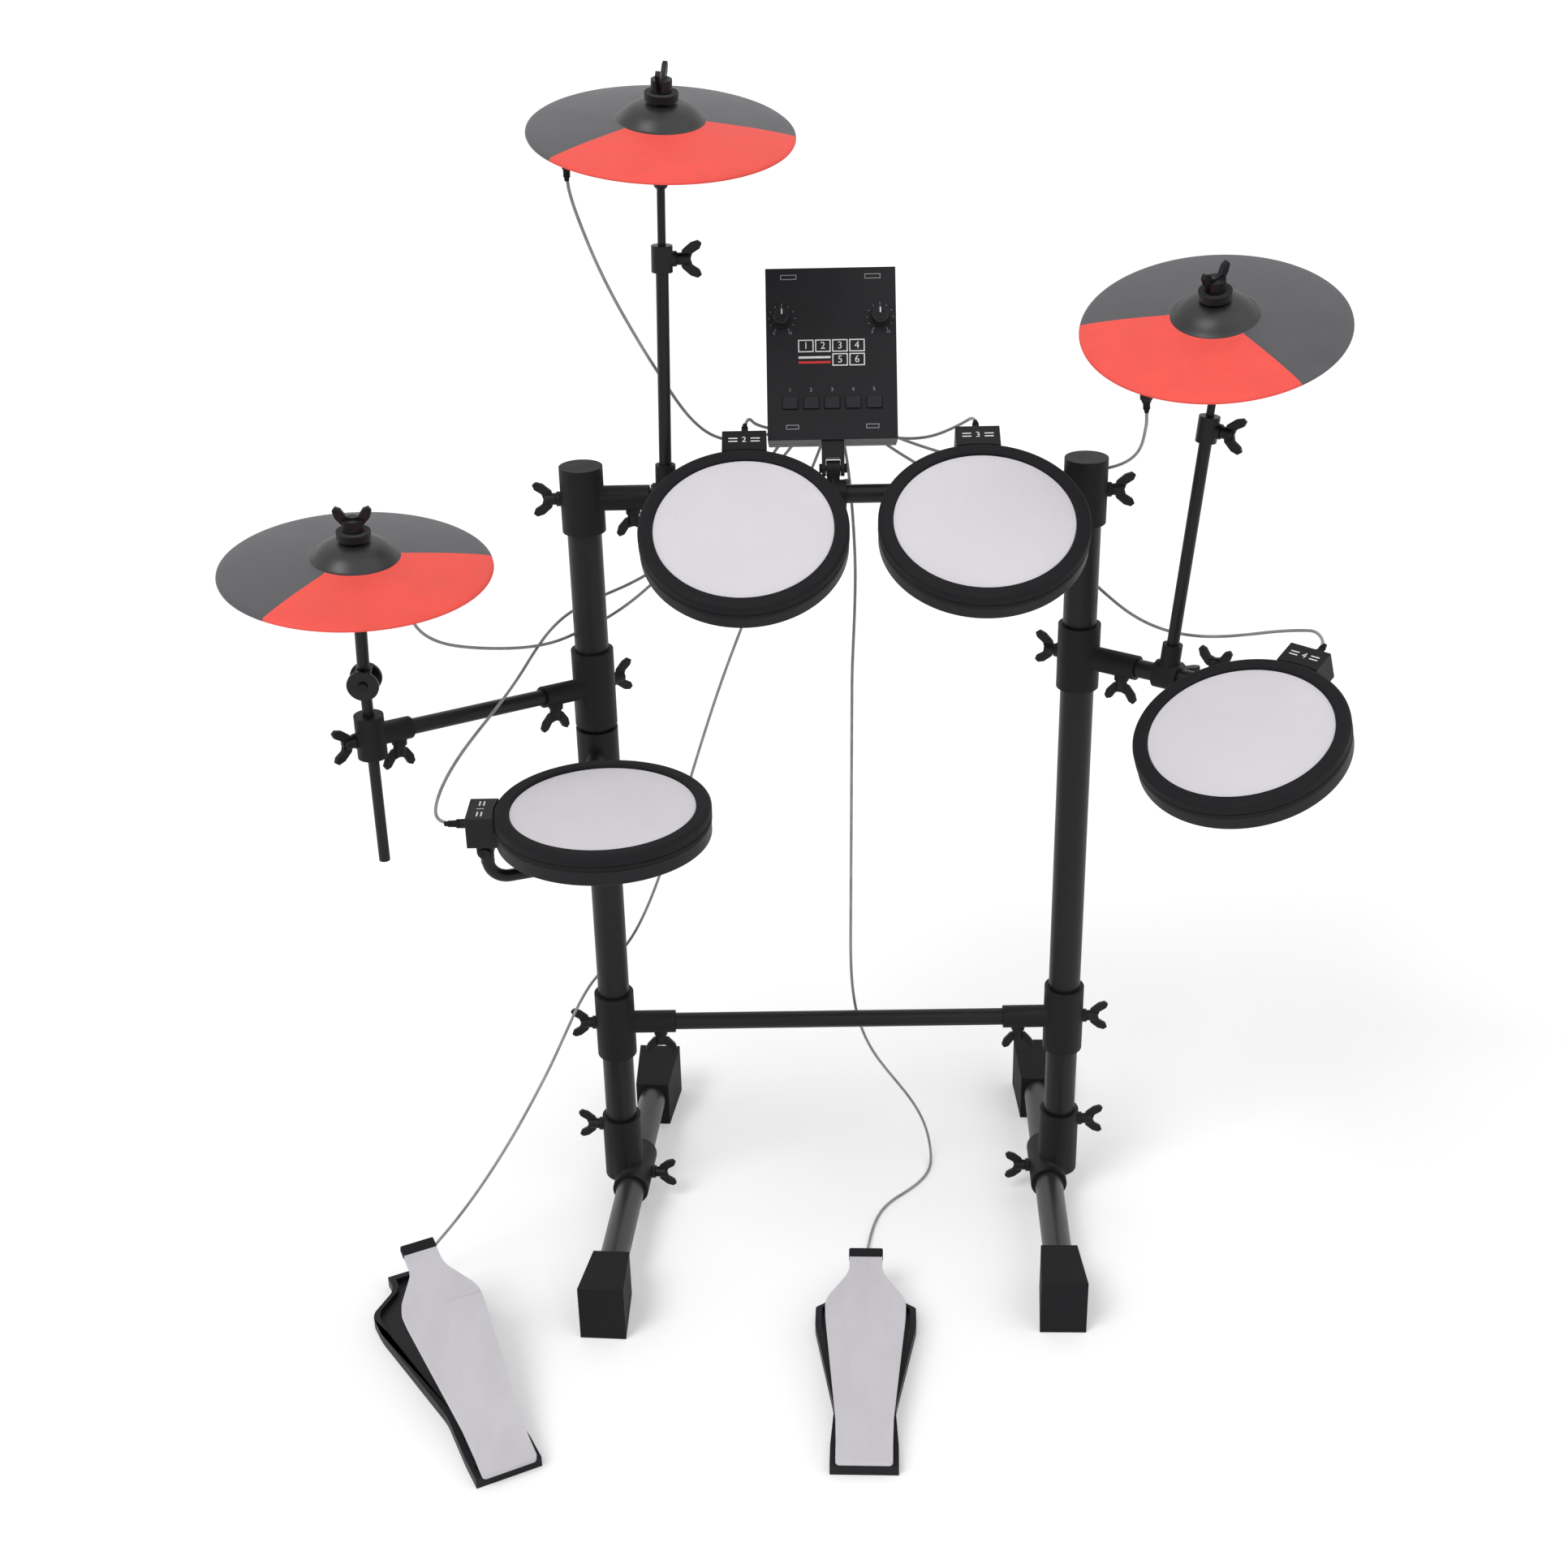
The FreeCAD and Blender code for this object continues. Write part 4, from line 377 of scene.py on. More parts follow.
# A screw head's rounded edge and its socket, as shares of the head's height or width.
SCREW_EDGE_SHARE, SOCKET_WALL_SHARE, SOCKET_DEPTH_SHARE = 0.25, 0.24, 0.6
SCREW_SIDES, NUT_SIDES = 24, 6
PRINT_THICKNESS = 0.12


def placed(name, data):
    """A new object in the scene."""
    obj = bpy.data.objects.new(name, data)
    bpy.context.scene.collection.objects.link(obj)
    return obj


def piece(name, bm, materials, body, nodes=(), smooth=42.0):
    """Makes a finished bmesh into an object that rides on a body and stands for CAD nodes."""
    mesh = bpy.data.meshes.new(name)
    bm.to_mesh(mesh)
    bm.free()
    for material in materials:
        mesh.materials.append(FINISHES.get(material, material))
    mesh.polygons.foreach_set("use_smooth", [True] * len(mesh.polygons))
    mesh.set_sharp_from_angle(angle=math.radians(smooth))
    obj = placed(name, mesh)
    even = obj.modifiers.new("even_shading", "WEIGHTED_NORMAL")
    even.keep_sharp = True
    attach(obj, body)
    if nodes:
        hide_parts(*nodes)
    return obj


def corners(bm, angle=35.0):
    """The outward edges of a mesh that are sharp enough to be rounded."""
    limit = math.radians(angle)
    return [e for e in bm.edges if e.is_manifold and e.is_convex and e.calc_face_angle() > limit]


def round_edges(bm, edges, width, segments=3):
    bmesh.ops.bevel(bm, geom=edges, offset=width, offset_type="OFFSET", affect="EDGES", segments=segments,
                    profile=0.5, material=-1, clamp_overlap=True)


def islands(bm):
    """The separate solids of a mesh, each as a list of its faces."""
    left, found = set(bm.faces), []
    while left:
        todo = [left.pop()]
        members = []
        while todo:
            face = todo.pop()
            members.append(face)
            for edge in face.edges:
                for other in edge.link_faces:
                    if other in left:
                        left.remove(other)
                        todo.append(other)
        found.append(members)
    return found


def merged_copy(node):
    """A CAD node's shape with its triangles joined and its flat faces whole."""
    bm = bmesh.new()
    bm.from_mesh(frame["nodes"][node].data)
    bmesh.ops.remove_doubles(bm, verts=bm.verts, dist=MERGE)
    bmesh.ops.dissolve_limit(bm, angle_limit=math.radians(FLAT_ANGLE), verts=bm.verts, edges=bm.edges)
    return bm


def finished(node, material, width, segments=3, bm=None):
    """A CAD node with rounded edges and a real finish; its shape may come already worked on."""
    bm = bm or merged_copy(node)
    round_edges(bm, corners(bm), width, segments)
    return piece("%s_%s" % (node, material), bm, [material], BODY_OF[node], [node])


def soft_plan(node, where, inside, gentle, sharp):
    """A CAD node with its upright corners rounded: wide where its outline bends, and small where it ends."""
    bm = merged_copy(node)
    bmesh.ops.transform(bm, matrix=where.inverted(), verts=bm.verts)
    for (least, most), width, segments in ((BEND_ANGLES, gentle, 6), (CORNER_ANGLES, sharp, 4)):
        round_edges(bm, [
            e for e in bm.edges
            if e.is_manifold and math.radians(least) < e.calc_face_angle() < math.radians(most)
            and abs((e.verts[0].co - e.verts[1].co).normalized().z) > UPRIGHT_SHARE
            and inside((e.verts[0].co + e.verts[1].co) / 2 / MM)
        ], width, segments)
    bmesh.ops.transform(bm, matrix=where, verts=bm.verts)
    return bm


def revolved(bm, profile, steps, closed=True):
    """Spins an outline of (reach, height) points, in millimetres, round the Z axis."""
    dots = [bm.verts.new((reach * MM, 0.0, height * MM)) for reach, height in profile]
    pairs = zip(dots, dots[1:] + dots[:1]) if closed else zip(dots, dots[1:])
    lines = [bm.edges.new(pair) for pair in pairs]
    bmesh.ops.spin(bm, geom=dots + lines, cent=(0, 0, 0), axis=(0, 0, 1), dvec=(0, 0, 0), angle=2 * math.pi,
                   steps=steps, use_merge=True, use_normal_flip=False, use_duplicate=False)
    bmesh.ops.remove_doubles(bm, verts=bm.verts, dist=MERGE)
    bmesh.ops.recalc_face_normals(bm, faces=bm.faces)


def coloured(made, index):
    """The faces that an operator has just made, with their material set."""
    faces = {face for vert in made["verts"] for face in vert.link_faces}
    for face in faces:
        face.material_index = index
    return faces


def add_drum(bm, width, depth, where, segments=32, width_top=None, edge=0.0, index=0):
    """Adds a round bar, in millimetres, whose lower end is at the origin of a frame."""
    top = width if width_top is None else width_top
    made = bmesh.ops.create_cone(
        bm, cap_ends=True, segments=segments, radius1=width / 2 * MM, radius2=top / 2 * MM, depth=depth * MM,
        matrix=where @ Matrix.Translation((0, 0, depth / 2 * MM)))
    faces = coloured(made, index)
    if edge:
        limit = math.radians(BAR_END_ANGLE)
        ends = [e for e in {e for face in faces for e in face.edges} if e.calc_face_angle() > limit]
        round_edges(bm, ends, edge * MM, 2)


def add_bar(bm, size, where, edge=0.0, index=0):
    """Adds a block, in millimetres, centred on the origin of a frame."""
    grown = Matrix.Diagonal([*(s * MM for s in size), 1.0])
    faces = coloured(bmesh.ops.create_cube(bm, size=1.0, matrix=where @ grown), index)
    if edge:
        round_edges(bm, list({e for face in faces for e in face.edges}), edge * MM, 2)


def add_screw(bm, width, proud, where):
    """Adds a round screw head with a sunk socket, in millimetres, standing on the origin of a frame."""
    old = set(bm.faces)
    add_drum(bm, width, proud, where, SCREW_SIDES, None, proud * SCREW_EDGE_SHARE)
    bm.normal_update()
    way = (where.to_3x3() @ UP).normalized()
    new = [face for face in bm.faces if face not in old]
    top = max(new, key=lambda face: face.normal.dot(way) * face.calc_area())
    bmesh.ops.inset_region(bm, faces=[top], thickness=width * SOCKET_WALL_SHARE * MM, depth=0.0)
    bmesh.ops.translate(bm, vec=-way * proud * SOCKET_DEPTH_SHARE * MM, verts=list(top.verts))


def add_words(bm, words, size, where, index=0):
    """Adds raised characters, in millimetres, centred on the origin of a frame."""
    curve = bpy.data.curves.new("characters", "FONT")
    curve.body = words
    curve.size = size * MM
    curve.extrude = PRINT_THICKNESS / 2 * MM
    curve.align_x = "CENTER"
    curve.align_y = "CENTER"
    curve.resolution_u = 4
    holder = bpy.data.objects.new("characters", curve)
    mesh = bpy.data.meshes.new_from_object(holder)
    mesh.transform(where)
    old = set(bm.faces)
    bm.from_mesh(mesh)
    for face in set(bm.faces) - old:
        face.material_index = index
    bpy.data.objects.remove(holder)
    bpy.data.curves.remove(curve)
    bpy.data.meshes.remove(mesh)


# Stage

CAMERA_PLACE = (-23.84, -2103.27, 1572.0)
CAMERA_PITCH, CAMERA_ROLL, CAMERA_YAW = 26.12, -1.286, -0.887
CAMERA_LENS = 50.12
SENSOR_WIDTH = 36.0
NEAREST_SEEN, FARTHEST_SEEN = 0.05, 100.0
FLOOR_SIZE = 60.0
SKY_LIGHT, PAPER_GLOW = 0.6, 0.2
# Each lamp's strength, how many degrees of the sky it fills, and how it is turned.
LAMPS = {"key_light": (1.15, 28, (38, -8, -32)), "fill_light": (0.45, 60, (42, 10, 48))}


def shown(tree):
    rays = add(tree, "ShaderNodeLightPath").outputs
    value = rays["Is Camera Ray"]
    for kind in ("Is Glossy Ray", "Is Transmission Ray"):
        either = add(tree, "ShaderNodeMath", {"operation": "MAXIMUM"}, {0: value, 1: rays[kind]})
        value = either.outputs["Value"]
    return value


class DRUMKIT_OT_stage(Operator):
    """Sets the camera where the photograph was taken from, with a pale floor and soft light"""

    bl_idname = "drumkit.stage"
    bl_label = "Stage"

    def execute(self, context):
        scene = context.scene
        scene.view_settings.view_transform = "Standard"
        self.camera(scene)
        self.floor()
        self.light(scene)
        return {"FINISHED"}

    def camera(self, scene):
        data = bpy.data.cameras.new("photo_camera")
        data.sensor_width = SENSOR_WIDTH
        data.lens = CAMERA_LENS
        data.clip_start, data.clip_end = NEAREST_SEEN, FARTHEST_SEEN
        pitch, roll, yaw = (math.radians(a) for a in (CAMERA_PITCH, CAMERA_ROLL, CAMERA_YAW))
        ahead = Vector((math.sin(yaw) * math.cos(pitch), math.cos(yaw) * math.cos(pitch), -math.sin(pitch)))
        level = Vector((math.cos(yaw), -math.sin(yaw), 0.0))
        above = level.cross(ahead)
        right = math.cos(roll) * level + math.sin(roll) * above
        up = math.cos(roll) * above - math.sin(roll) * level
        facing = Matrix((right, up, -ahead)).transposed().to_4x4()
        scene.camera = placed("photo_camera", data)
        scene.camera.matrix_world = Matrix.Translation(at(*CAMERA_PLACE)) @ facing

    def floor(self):
        bm = bmesh.new()
        bmesh.ops.create_grid(bm, x_segments=1, y_segments=1, size=FLOOR_SIZE / 2)
        mesh = bpy.data.meshes.new("studio_floor")
        bm.to_mesh(mesh)
        bm.free()
        # Matt white paper: no gloss, and only a trace of unevenness.
        paper = finish("white_paper", linear("F6F6F7"), 0.01, 400, 3, 0.02, (0.9, 1.0),
                       {"Specular IOR Level": 0.0, "Emission Color": linear("FFFFFF")})
        tree = paper.node_tree
        glow = add(tree, "ShaderNodeMapRange", inputs={
            "Value": shown(tree), "To Min": 0.0, "To Max": PAPER_GLOW})
        tree.links.new(glow.outputs["Result"], shader_of(paper).inputs["Emission Strength"])
        mesh.materials.append(paper)
        floor = placed("studio_floor", mesh)

    def light(self, scene):
        world = bpy.data.worlds.new("studio")
        scene.world = world
        world.use_nodes = True
        tree = world.node_tree
        tree.nodes.clear()
        strength = add(tree, "ShaderNodeMapRange", inputs={
            "Value": shown(tree), "To Min": SKY_LIGHT, "To Max": 1.0})
        sky = add(tree, "ShaderNodeBackground", inputs={
            "Color": linear("FDFDFD"), "Strength": strength.outputs["Result"]})
        add(tree, "ShaderNodeOutputWorld", inputs={"Surface": sky.outputs["Background"]})
        for name, (energy, spread, turn) in LAMPS.items():
            data = bpy.data.lights.new(name, "SUN")
            data.energy = energy
            data.angle = math.radians(spread)
            placed(name, data).rotation_euler = [math.radians(a) for a in turn]


# Cords: the same routes as in the CAD source, each a smooth spline from a jack and its straight stub along
# listed points. Each run of a cord lies between the two bodies of one joint, and rides on its body when both
# are the same; the share is how far along the cord it ends.

CORDS = {
    "crash": {
        "points": [
            (-58, 84, 906), (-72, 89, 899), (-91, 83, 897), (-110, 69, 902), (-126, 52, 914), (-140, 38, 931),
            (-153, 27, 952), (-166, 19, 977), (-181, 10, 1006), (-196, 0, 1038), (-211, -10, 1072),
            (-225, -20, 1109), (-236, -29, 1145), (-242, -35, 1168)],
        "runs": [("module", "rack", 0.36), ("rack", "crash_rod", 0.8), ("crash_rod", "crash_cymbal", 1.0)],
    },
    "hihat": {
        "points": [
            (-45, 86, 904), (-56, 94, 886), (-74, 90, 863), (-97, 78, 840), (-123, 64, 815), (-152, 51, 790),
            (-183, 41, 763), (-212, 36, 739), (-240, 30, 722), (-267, 16, 714), (-290, -10, 713),
            (-314, -42, 721), (-338, -73, 733), (-362, -101, 746), (-384, -125, 760), (-399, -142, 776),
            (-407, -154, 794), (-408, -163, 813)],
        "runs": [("module", "rack", 0.28), ("rack", "hihat_arm", 0.6), ("hihat_arm", "hihat_rod", 0.84),
                 ("hihat_rod", "hihat_tilter", 0.95), ("hihat_tilter", "hihat_cymbal", 1.0)],
    },
    "snare": {
        "points": [
            (-33, 88, 901), (-44, 98, 882), (-63, 99, 860), (-88, 90, 838), (-116, 77, 816), (-146, 64, 794),
            (-178, 54, 773), (-211, 46, 756), (-245, 39, 744), (-275, 23, 735), (-295, -3, 725),
            (-309, -34, 713), (-320, -66, 702), (-331, -99, 694), (-342, -132, 688), (-353, -165, 683),
            (-364, -198, 677), (-374, -228, 668), (-381, -254, 657), (-382, -273, 647)],
        "runs": [("module", "rack", 0.4), ("rack", "snare_arm", 0.75), ("snare_arm", "snare", 1.0)],
    },
    "left_tom": {
        "points": [
            (-24, 85, 909), (-38, 89, 905), (-54, 83, 907), (-68, 70, 914), (-79, 54, 923), (-84, 39, 934)],
        "runs": [("module", "rack", 0.5), ("rack", "left_tom", 1.0)],
    },
    "hihat_pedal": {
        "points": [
            (-6, 87, 905), (-11, 98, 886), (-21, 101, 860), (-36, 95, 828), (-55, 83, 791),
            (-75, 69, 753), (-93, 56, 714), (-110, 45, 674), (-126, 36, 633), (-141, 29, 590),
            (-155, 25, 547), (-169, 22, 503), (-183, 20, 459), (-198, 20, 416), (-214, 21, 375),
            (-232, 24, 338), (-254, 27, 309), (-277, 18, 290), (-293, -6, 272), (-307, -31, 249),
            (-323, -56, 222), (-342, -79, 193), (-363, -100, 162), (-386, -117, 130), (-410, -129, 98),
            (-434, -137, 68), (-456, -144, 44), (-472, -153, 26), (-479, -165, 15)],
        "runs": [("module", "rack", 0.16), ("rack", "rack", 1.0)],
    },
    "kick": {
        "points": [
            (9, 87, 905), (13, 97, 886), (17, 99, 859), (20, 91, 827), (22, 77, 795), (23, 62, 763),
            (22, 48, 729), (20, 37, 693), (18, 29, 656), (17.6, 28, 619), (14.4, 21, 356), (14, 20, 318),
            (15, 20, 280), (19, 21, 244), (27, 25, 210), (39, 32, 178), (54, 42, 148), (70, 54, 118),
            (85, 66, 88), (97, 75, 60), (105, 79, 35), (109, 75, 16), (110, 64, 5), (108, 49, 2),
            (102, 32, 2), (91, 15, 2), (77, 0, 2), (62, -14, 2), (49, -31, 2), (40, -52, 2), (34, -75, 2),
            (30, -99, 3), (27, -122, 7)],
        "runs": [("module", "rack", 0.16), ("rack", "rack", 1.0)],
    },
    "right_tom": {
        "points": [
            (27, 86, 907), (43, 93, 899), (63, 93, 894), (84, 87, 894), (104, 76, 900), (121, 63, 911),
            (134, 50, 922), (141, 37, 931)],
        "runs": [("module", "rack", 0.5), ("rack", "right_tom", 1.0)],
    },
    "floor_tom": {
        "points": [
            (37, 86, 905), (50, 95, 891), (71, 98, 875), (97, 93, 860), (126, 84, 846), (155, 74, 832),
            (184, 64, 817), (211, 54, 800), (237, 44, 781), (261, 34, 761), (283, 21, 743), (303, 5, 730),
            (324, -11, 722), (347, -24, 718), (371, -35, 718), (395, -46, 722), (419, -58, 729),
            (442, -73, 738), (462, -91, 746), (474, -104, 750)],
        "runs": [("module", "rack", 0.3), ("rack", "right_arm", 0.66), ("right_arm", "floor_tom", 1.0)],
    },
    "ride": {
        "points": [
            (50, 86, 906), (64, 95, 895), (86, 99, 885), (112, 95, 877), (140, 88, 871), (169, 79, 867),
            (198, 69, 865), (226, 58, 865), (252, 44, 869), (275, 28, 877), (291, 7, 889), (298, -19, 905),
            (299, -47, 922), (297, -76, 940), (294, -103, 958), (292, -121, 969)],
        "runs": [("module", "rack", 0.32), ("rack", "right_arm", 0.64), ("right_arm", "ride_rod", 0.84),
                 ("ride_rod", "ride_cymbal", 1.0)],
    },
}
PEDAL_CORDS = ("hihat_pedal", "kick")
SPLINE_STEPS = 10
# A plug's sleeve tapers to its tip. It has a collar at the jack and three rings for the fingers.
PLUG_LENGTH, PLUG_WIDTH, PLUG_TIP_WIDTH, PLUG_EDGE, PLUG_SIDES = 15.0, 7.6, 4.4, 0.5, 24
COLLAR_WIDTH, COLLAR_LENGTH = 8.8, 3.4
GRIP_PLACES, GRIP_LENGTH, GRIP_WIDTH, GRIP_TIP_WIDTH, GRIP_EDGE = (5.4, 7.6, 9.8), 1.1, 6.9, 6.6, 0.2


def jack_x(number):
    """How far a cord's jack is from the middle of the row on the module."""
    return (number - (len(CORDS) - 1) / 2) * MODULE_JACK_PITCH


def cord_ends(name, number):
    """The tips of a cord's two jacks, and the ways in which the cord leaves them."""
    start = MODULE @ (Vector((jack_x(number), MODULE_JACK_ROW, -MODULE_JACK_DEPTH)) * MM)
    start_way = -(MODULE.to_3x3() @ UP)
    if name in PADS:
        end, end_way = PADS[name] @ PAD_JACK, PADS[name].to_3x3() @ Vector((0, 1, 0))
    elif name in CYMBALS:
        where, jack, _ = CYMBALS[name]
        end, end_way = where @ (cymbal_jack(*jack) - UP * CYMBAL_JACK_LENGTH * MM), -(where.to_3x3() @ UP)
    else:
        where = PEDALS[name][0]
        end, end_way = where @ PEDAL_JACK, where.to_3x3() @ Vector((0, 1, 0))
    return start, start_way, end, end_way


def curve_mesh(points, kind, width=0.0):
    """The mesh of a curve that the points control: a bare line, or a round tube where it has a width."""
    curve = bpy.data.curves.new("route", "CURVE")
    curve.dimensions = "3D"
    curve.resolution_u = SPLINE_STEPS
    curve.bevel_depth = width / 2
    curve.bevel_resolution = 3
    curve.use_fill_caps = True
    spline = curve.splines.new(kind)
    spline.points.add(len(points) - 1)
    for dot, spot in zip(spline.points, points):
        dot.co = (*spot, 1.0)
    spline.order_u = 3
    spline.use_endpoint_u = True
    holder = bpy.data.objects.new("route", curve)
    mesh = bpy.data.meshes.new_from_object(holder)
    bpy.data.objects.remove(holder)
    bpy.data.curves.remove(curve)
    return mesh


def spline_points(points):
    """The points of a smooth spline whose control points are a cord's route."""
    mesh = curve_mesh(points, "NURBS")
    found = [vert.co.copy() for vert in mesh.vertices]
    bpy.data.meshes.remove(mesh)
    return found


class DRUMKIT_OT_cords(Operator):
    """Runs a cord from the module to each pad, cymbal pad and pedal, with a sleeve at each plug"""

    bl_idname = "drumkit.cords"
    bl_label = "Cords"

    def execute(self, context):
        sizes = context.scene.drum_kit_sizes
        sleeves = {}
        for number, (name, facts) in enumerate(CORDS.items()):
            start, start_way, end, end_way = cord_ends(name, number)
            stub = sizes.cord_stub
            route = [start, start + start_way * stub, *(at(*spot) for spot in facts["points"]),
                     end + end_way * stub, end]
            self.lay(name, facts["runs"], spline_points(route), sizes.cord_width)
            sleeves.setdefault("module", []).append((start, start_way))
            sleeves.setdefault(facts["runs"][-1][1], []).append((end, end_way))
        for body, spots in sleeves.items():
            self.plugs(body, spots)
        return {"FINISHED"}

    def lay(self, name, runs, line, width):
        """Cuts a cord's line into its runs, each a tube that rides on its body when both ends of the run
        share one body.
        """
        along = [0.0]
        for a, b in zip(line, line[1:]):
            along.append(along[-1] + (b - a).length)
        first = 0
        for number, (before, after, share) in enumerate(runs, 1):
            last = next(i for i, far in enumerate(along) if far >= share * along[-1] - MERGE)
            part = line[first:last + 1]
            mesh = curve_mesh(part, "POLY", width)
            label = "%s_cord_%d" % (name, number)
            mesh.name = label
            mesh.materials.append(FINISHES["cord"])
            mesh.polygons.foreach_set("use_smooth", [True] * len(mesh.polygons))
            cord = placed(label, mesh)
            if before == after:
                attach(cord, before)
            else:
                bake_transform(cord)
            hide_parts("pedal_cords" if name in PEDAL_CORDS else "pad_cords")
            first = last

    def plugs(self, body, spots):
        """Moulded sleeves that stiffen the cords where they enter their jacks."""
        bm = bmesh.new()
        for tip, way in spots:
            where = Matrix.Translation(tip) @ pointing(way)
            add_drum(bm, PLUG_WIDTH, PLUG_LENGTH, where, PLUG_SIDES, PLUG_TIP_WIDTH, PLUG_EDGE)
            add_drum(bm, COLLAR_WIDTH, COLLAR_LENGTH, where, PLUG_SIDES, None, PLUG_EDGE)
            for place in GRIP_PLACES:
                add_drum(bm, GRIP_WIDTH, GRIP_LENGTH, where @ shift(0, 0, place), PLUG_SIDES, GRIP_TIP_WIDTH,
                         GRIP_EDGE)
        piece(body + "_plugs", bm, ["rubber"], body)


# Rack, arms and stands

# The hinges whose pin has a screw head on each ear, and the body that carries the ears.
HINGE_SCREWS = {
    "hihat_tilt": "hihat_tilter", "snare_tilt": "snare", "left_tom_tilt": "left_tom",
    "right_tom_tilt": "right_tom", "floor_tom_tilt": "floor_tom", "module_tilt": "module"}
# Here and below, a screw is the width and height of its head.
EAR_REACH, HINGE_SCREW = 11.3, (9.5, 2.8)


class DRUMKIT_OT_rack(Operator):
    """Finishes the posts, bars, clamps, bolts, legs, arms and stands"""

    bl_idname = "drumkit.rack"
    bl_label = "Rack and stands"

    painted = ("left_post", "right_post", "cross_bars", "right_arm", "hihat_arm", "crash_tube", "ride_tube",
               "crash_rod", "ride_rod", "hihat_rod", "hihat_tilter", "snare_rod", "floor_rod")
    clamps = ("top_clamps", "lower_clamps", "leg_clamps", "bar_clamps", "right_clamps", "hihat_clamps",
              "snare_clamp")
    bolts = ("wing_bolts", "right_wing_bolts", "hihat_wing_bolts", "snare_wing_bolts")

    def execute(self, context):
        sizes = context.scene.drum_kit_sizes
        for node in self.painted:
            finished(node, "paint", sizes.metal_round, 2)
        for node in self.clamps:
            finished(node, "nylon", sizes.moulded_round)
        for node in self.bolts:
            finished(node, "zinc", sizes.metal_round * 2)
        finished("leg_tubes", "leg_paint", sizes.metal_round, 2)
        finished("leg_boots", "rubber", sizes.rubber_round, 4)
        for joint, body in HINGE_SCREWS.items():
            self.hinge_screws(joint, body)
        return {"FINISHED"}

    def hinge_screws(self, joint, body):
        """A screw head on each ear of a hinge."""
        way = Vector(JOINTS[joint]["axis"])
        bm = bmesh.new()
        for side in (-1, 1):
            spot = Vector(JOINTS[joint]["pos_m"]) + way * side * EAR_REACH * MM
            add_screw(bm, *HINGE_SCREW, Matrix.Translation(spot) @ pointing(way * side))
        piece(joint + "_screws", bm, ["zinc"], body)


# Cymbal pads

# A cymbal pad's outline from the hole over the bell and the bow to its edge, and back underneath.
CYMBAL_OUTLINE = [
    (6.5, 27.0), (13.0, 27.0), (18.5, 26.4), (24.0, 25.0), (29.0, 22.8), (33.5, 19.6), (37.0, 16.0),
    (39.6, 13.0), (42.0, 11.2), (46.0, 10.4), (55.0, 9.7), (68.0, 8.4), (84.5, 6.7), (100.0, 4.6),
    (113.0, 2.6), (121.0, 1.2), (125.2, 0.2), (126.7, -0.9), (127.0, -2.2), (126.5, -3.4), (124.8, -4.0),
    (118.0, -3.0), (116.5, -0.9), (100.0, 1.0), (84.5, 2.7), (62.0, 5.0), (44.0, 6.9), (38.0, 7.6),
    (34.5, 11.0), (30.0, 16.0), (24.0, 17.1), (9.3, 17.1), (8.2, 20.6), (6.5, 22.7)]
CYMBAL_STEPS = 180
# The coral zone covers the faces that look up, and goes round the lip that starts at this reach.
LOOKS_UP, CYMBAL_LIP = 0.2, 125.0
JACK_WIDTH, JACK_FOOT_WIDTH, JACK_FOOT_END_WIDTH, JACK_FOOT_LENGTH, JACK_EDGE = 12.0, 21.0, 17.0, 7.5, 0.8
# The wing nut stands on the felt: a solid that starts above this height is the nut.
NUT_START = 35.0


class DRUMKIT_OT_cymbals(Operator):
    """Makes the three cymbal pads and the felts and wing nuts on top of them"""

    bl_idname = "drumkit.cymbals"
    bl_label = "Cymbal pads"

    def execute(self, context):
        sizes = context.scene.drum_kit_sizes
        colours = context.scene.drum_kit_colours
        for name, (where, jack, zone) in CYMBALS.items():
            # Moulded rubber: charcoal with a satin sheen, ridged round the bell.
            rubber = finish("cymbal_rubber_" + name, colours.cymbal, 0.1, 40, 0.7, 0.04, (0.4, 0.52),
                            shine(0.5, 1.52))
            ridged(rubber, where, sizes.ridge_pitch, 0.09)
            # The same rubber in coral, a little more matt.
            coral = finish("coral_rubber_" + name, colours.coral, 0.045, 45, 0.7, 0.04, (0.5, 0.62),
                           shine(0.3, 1.52))
            ridged(coral, where, sizes.ridge_pitch, 0.05)
            self.disc(name, where, jack, zone, [rubber, coral, "bell", "abs"])
            self.topper(name, where, sizes)
        return {"FINISHED"}

    def disc(self, name, where, jack, zone, materials):
        """A cymbal pad and its jack, in charcoal and coral rubber with a darker bell."""
        bm = bmesh.new()
        revolved(bm, CYMBAL_OUTLINE, CYMBAL_STEPS)
        for face in bm.faces:
            spot = face.calc_center_median()
            reach = math.hypot(spot.x, spot.y) / MM
            turn = math.degrees(math.atan2(spot.y, spot.x)) % 360
            played = zone[0] < turn < zone[1] or zone[0] < turn + 360 < zone[1]
            if reach < CYMBAL_BELL_FOOT:
                face.material_index = 2
            elif played and (face.normal.z > LOOKS_UP or reach > CYMBAL_LIP):
                face.material_index = 1
        down = Matrix.Translation(cymbal_jack(*jack)) @ turned("X", 180)
        add_drum(bm, JACK_WIDTH, CYMBAL_JACK_LENGTH, down, 32, None, JACK_EDGE, 3)
        add_drum(bm, JACK_FOOT_WIDTH, JACK_FOOT_LENGTH, down, 40, JACK_FOOT_END_WIDTH, JACK_EDGE, 3)
        bmesh.ops.transform(bm, matrix=where, verts=bm.verts)
        node = name + "_cymbal"
        piece(node + "_pad", bm, materials, node, [node], 50)

    def topper(self, name, where, sizes):
        """The felt and the wing nut on top of a cymbal pad."""
        node = name + "_topper"
        bm = merged_copy(node)
        back = where.inverted()
        for solid in islands(bm):
            lowest = min((back @ face.calc_center_median()).z for face in solid)
            for face in solid:
                face.material_index = int(lowest > NUT_START * MM)
        round_edges(bm, corners(bm), sizes.metal_round * 2)
        piece(node + "_felt_and_nut", bm, ["felt", "zinc"], BODY_OF[node], [node])


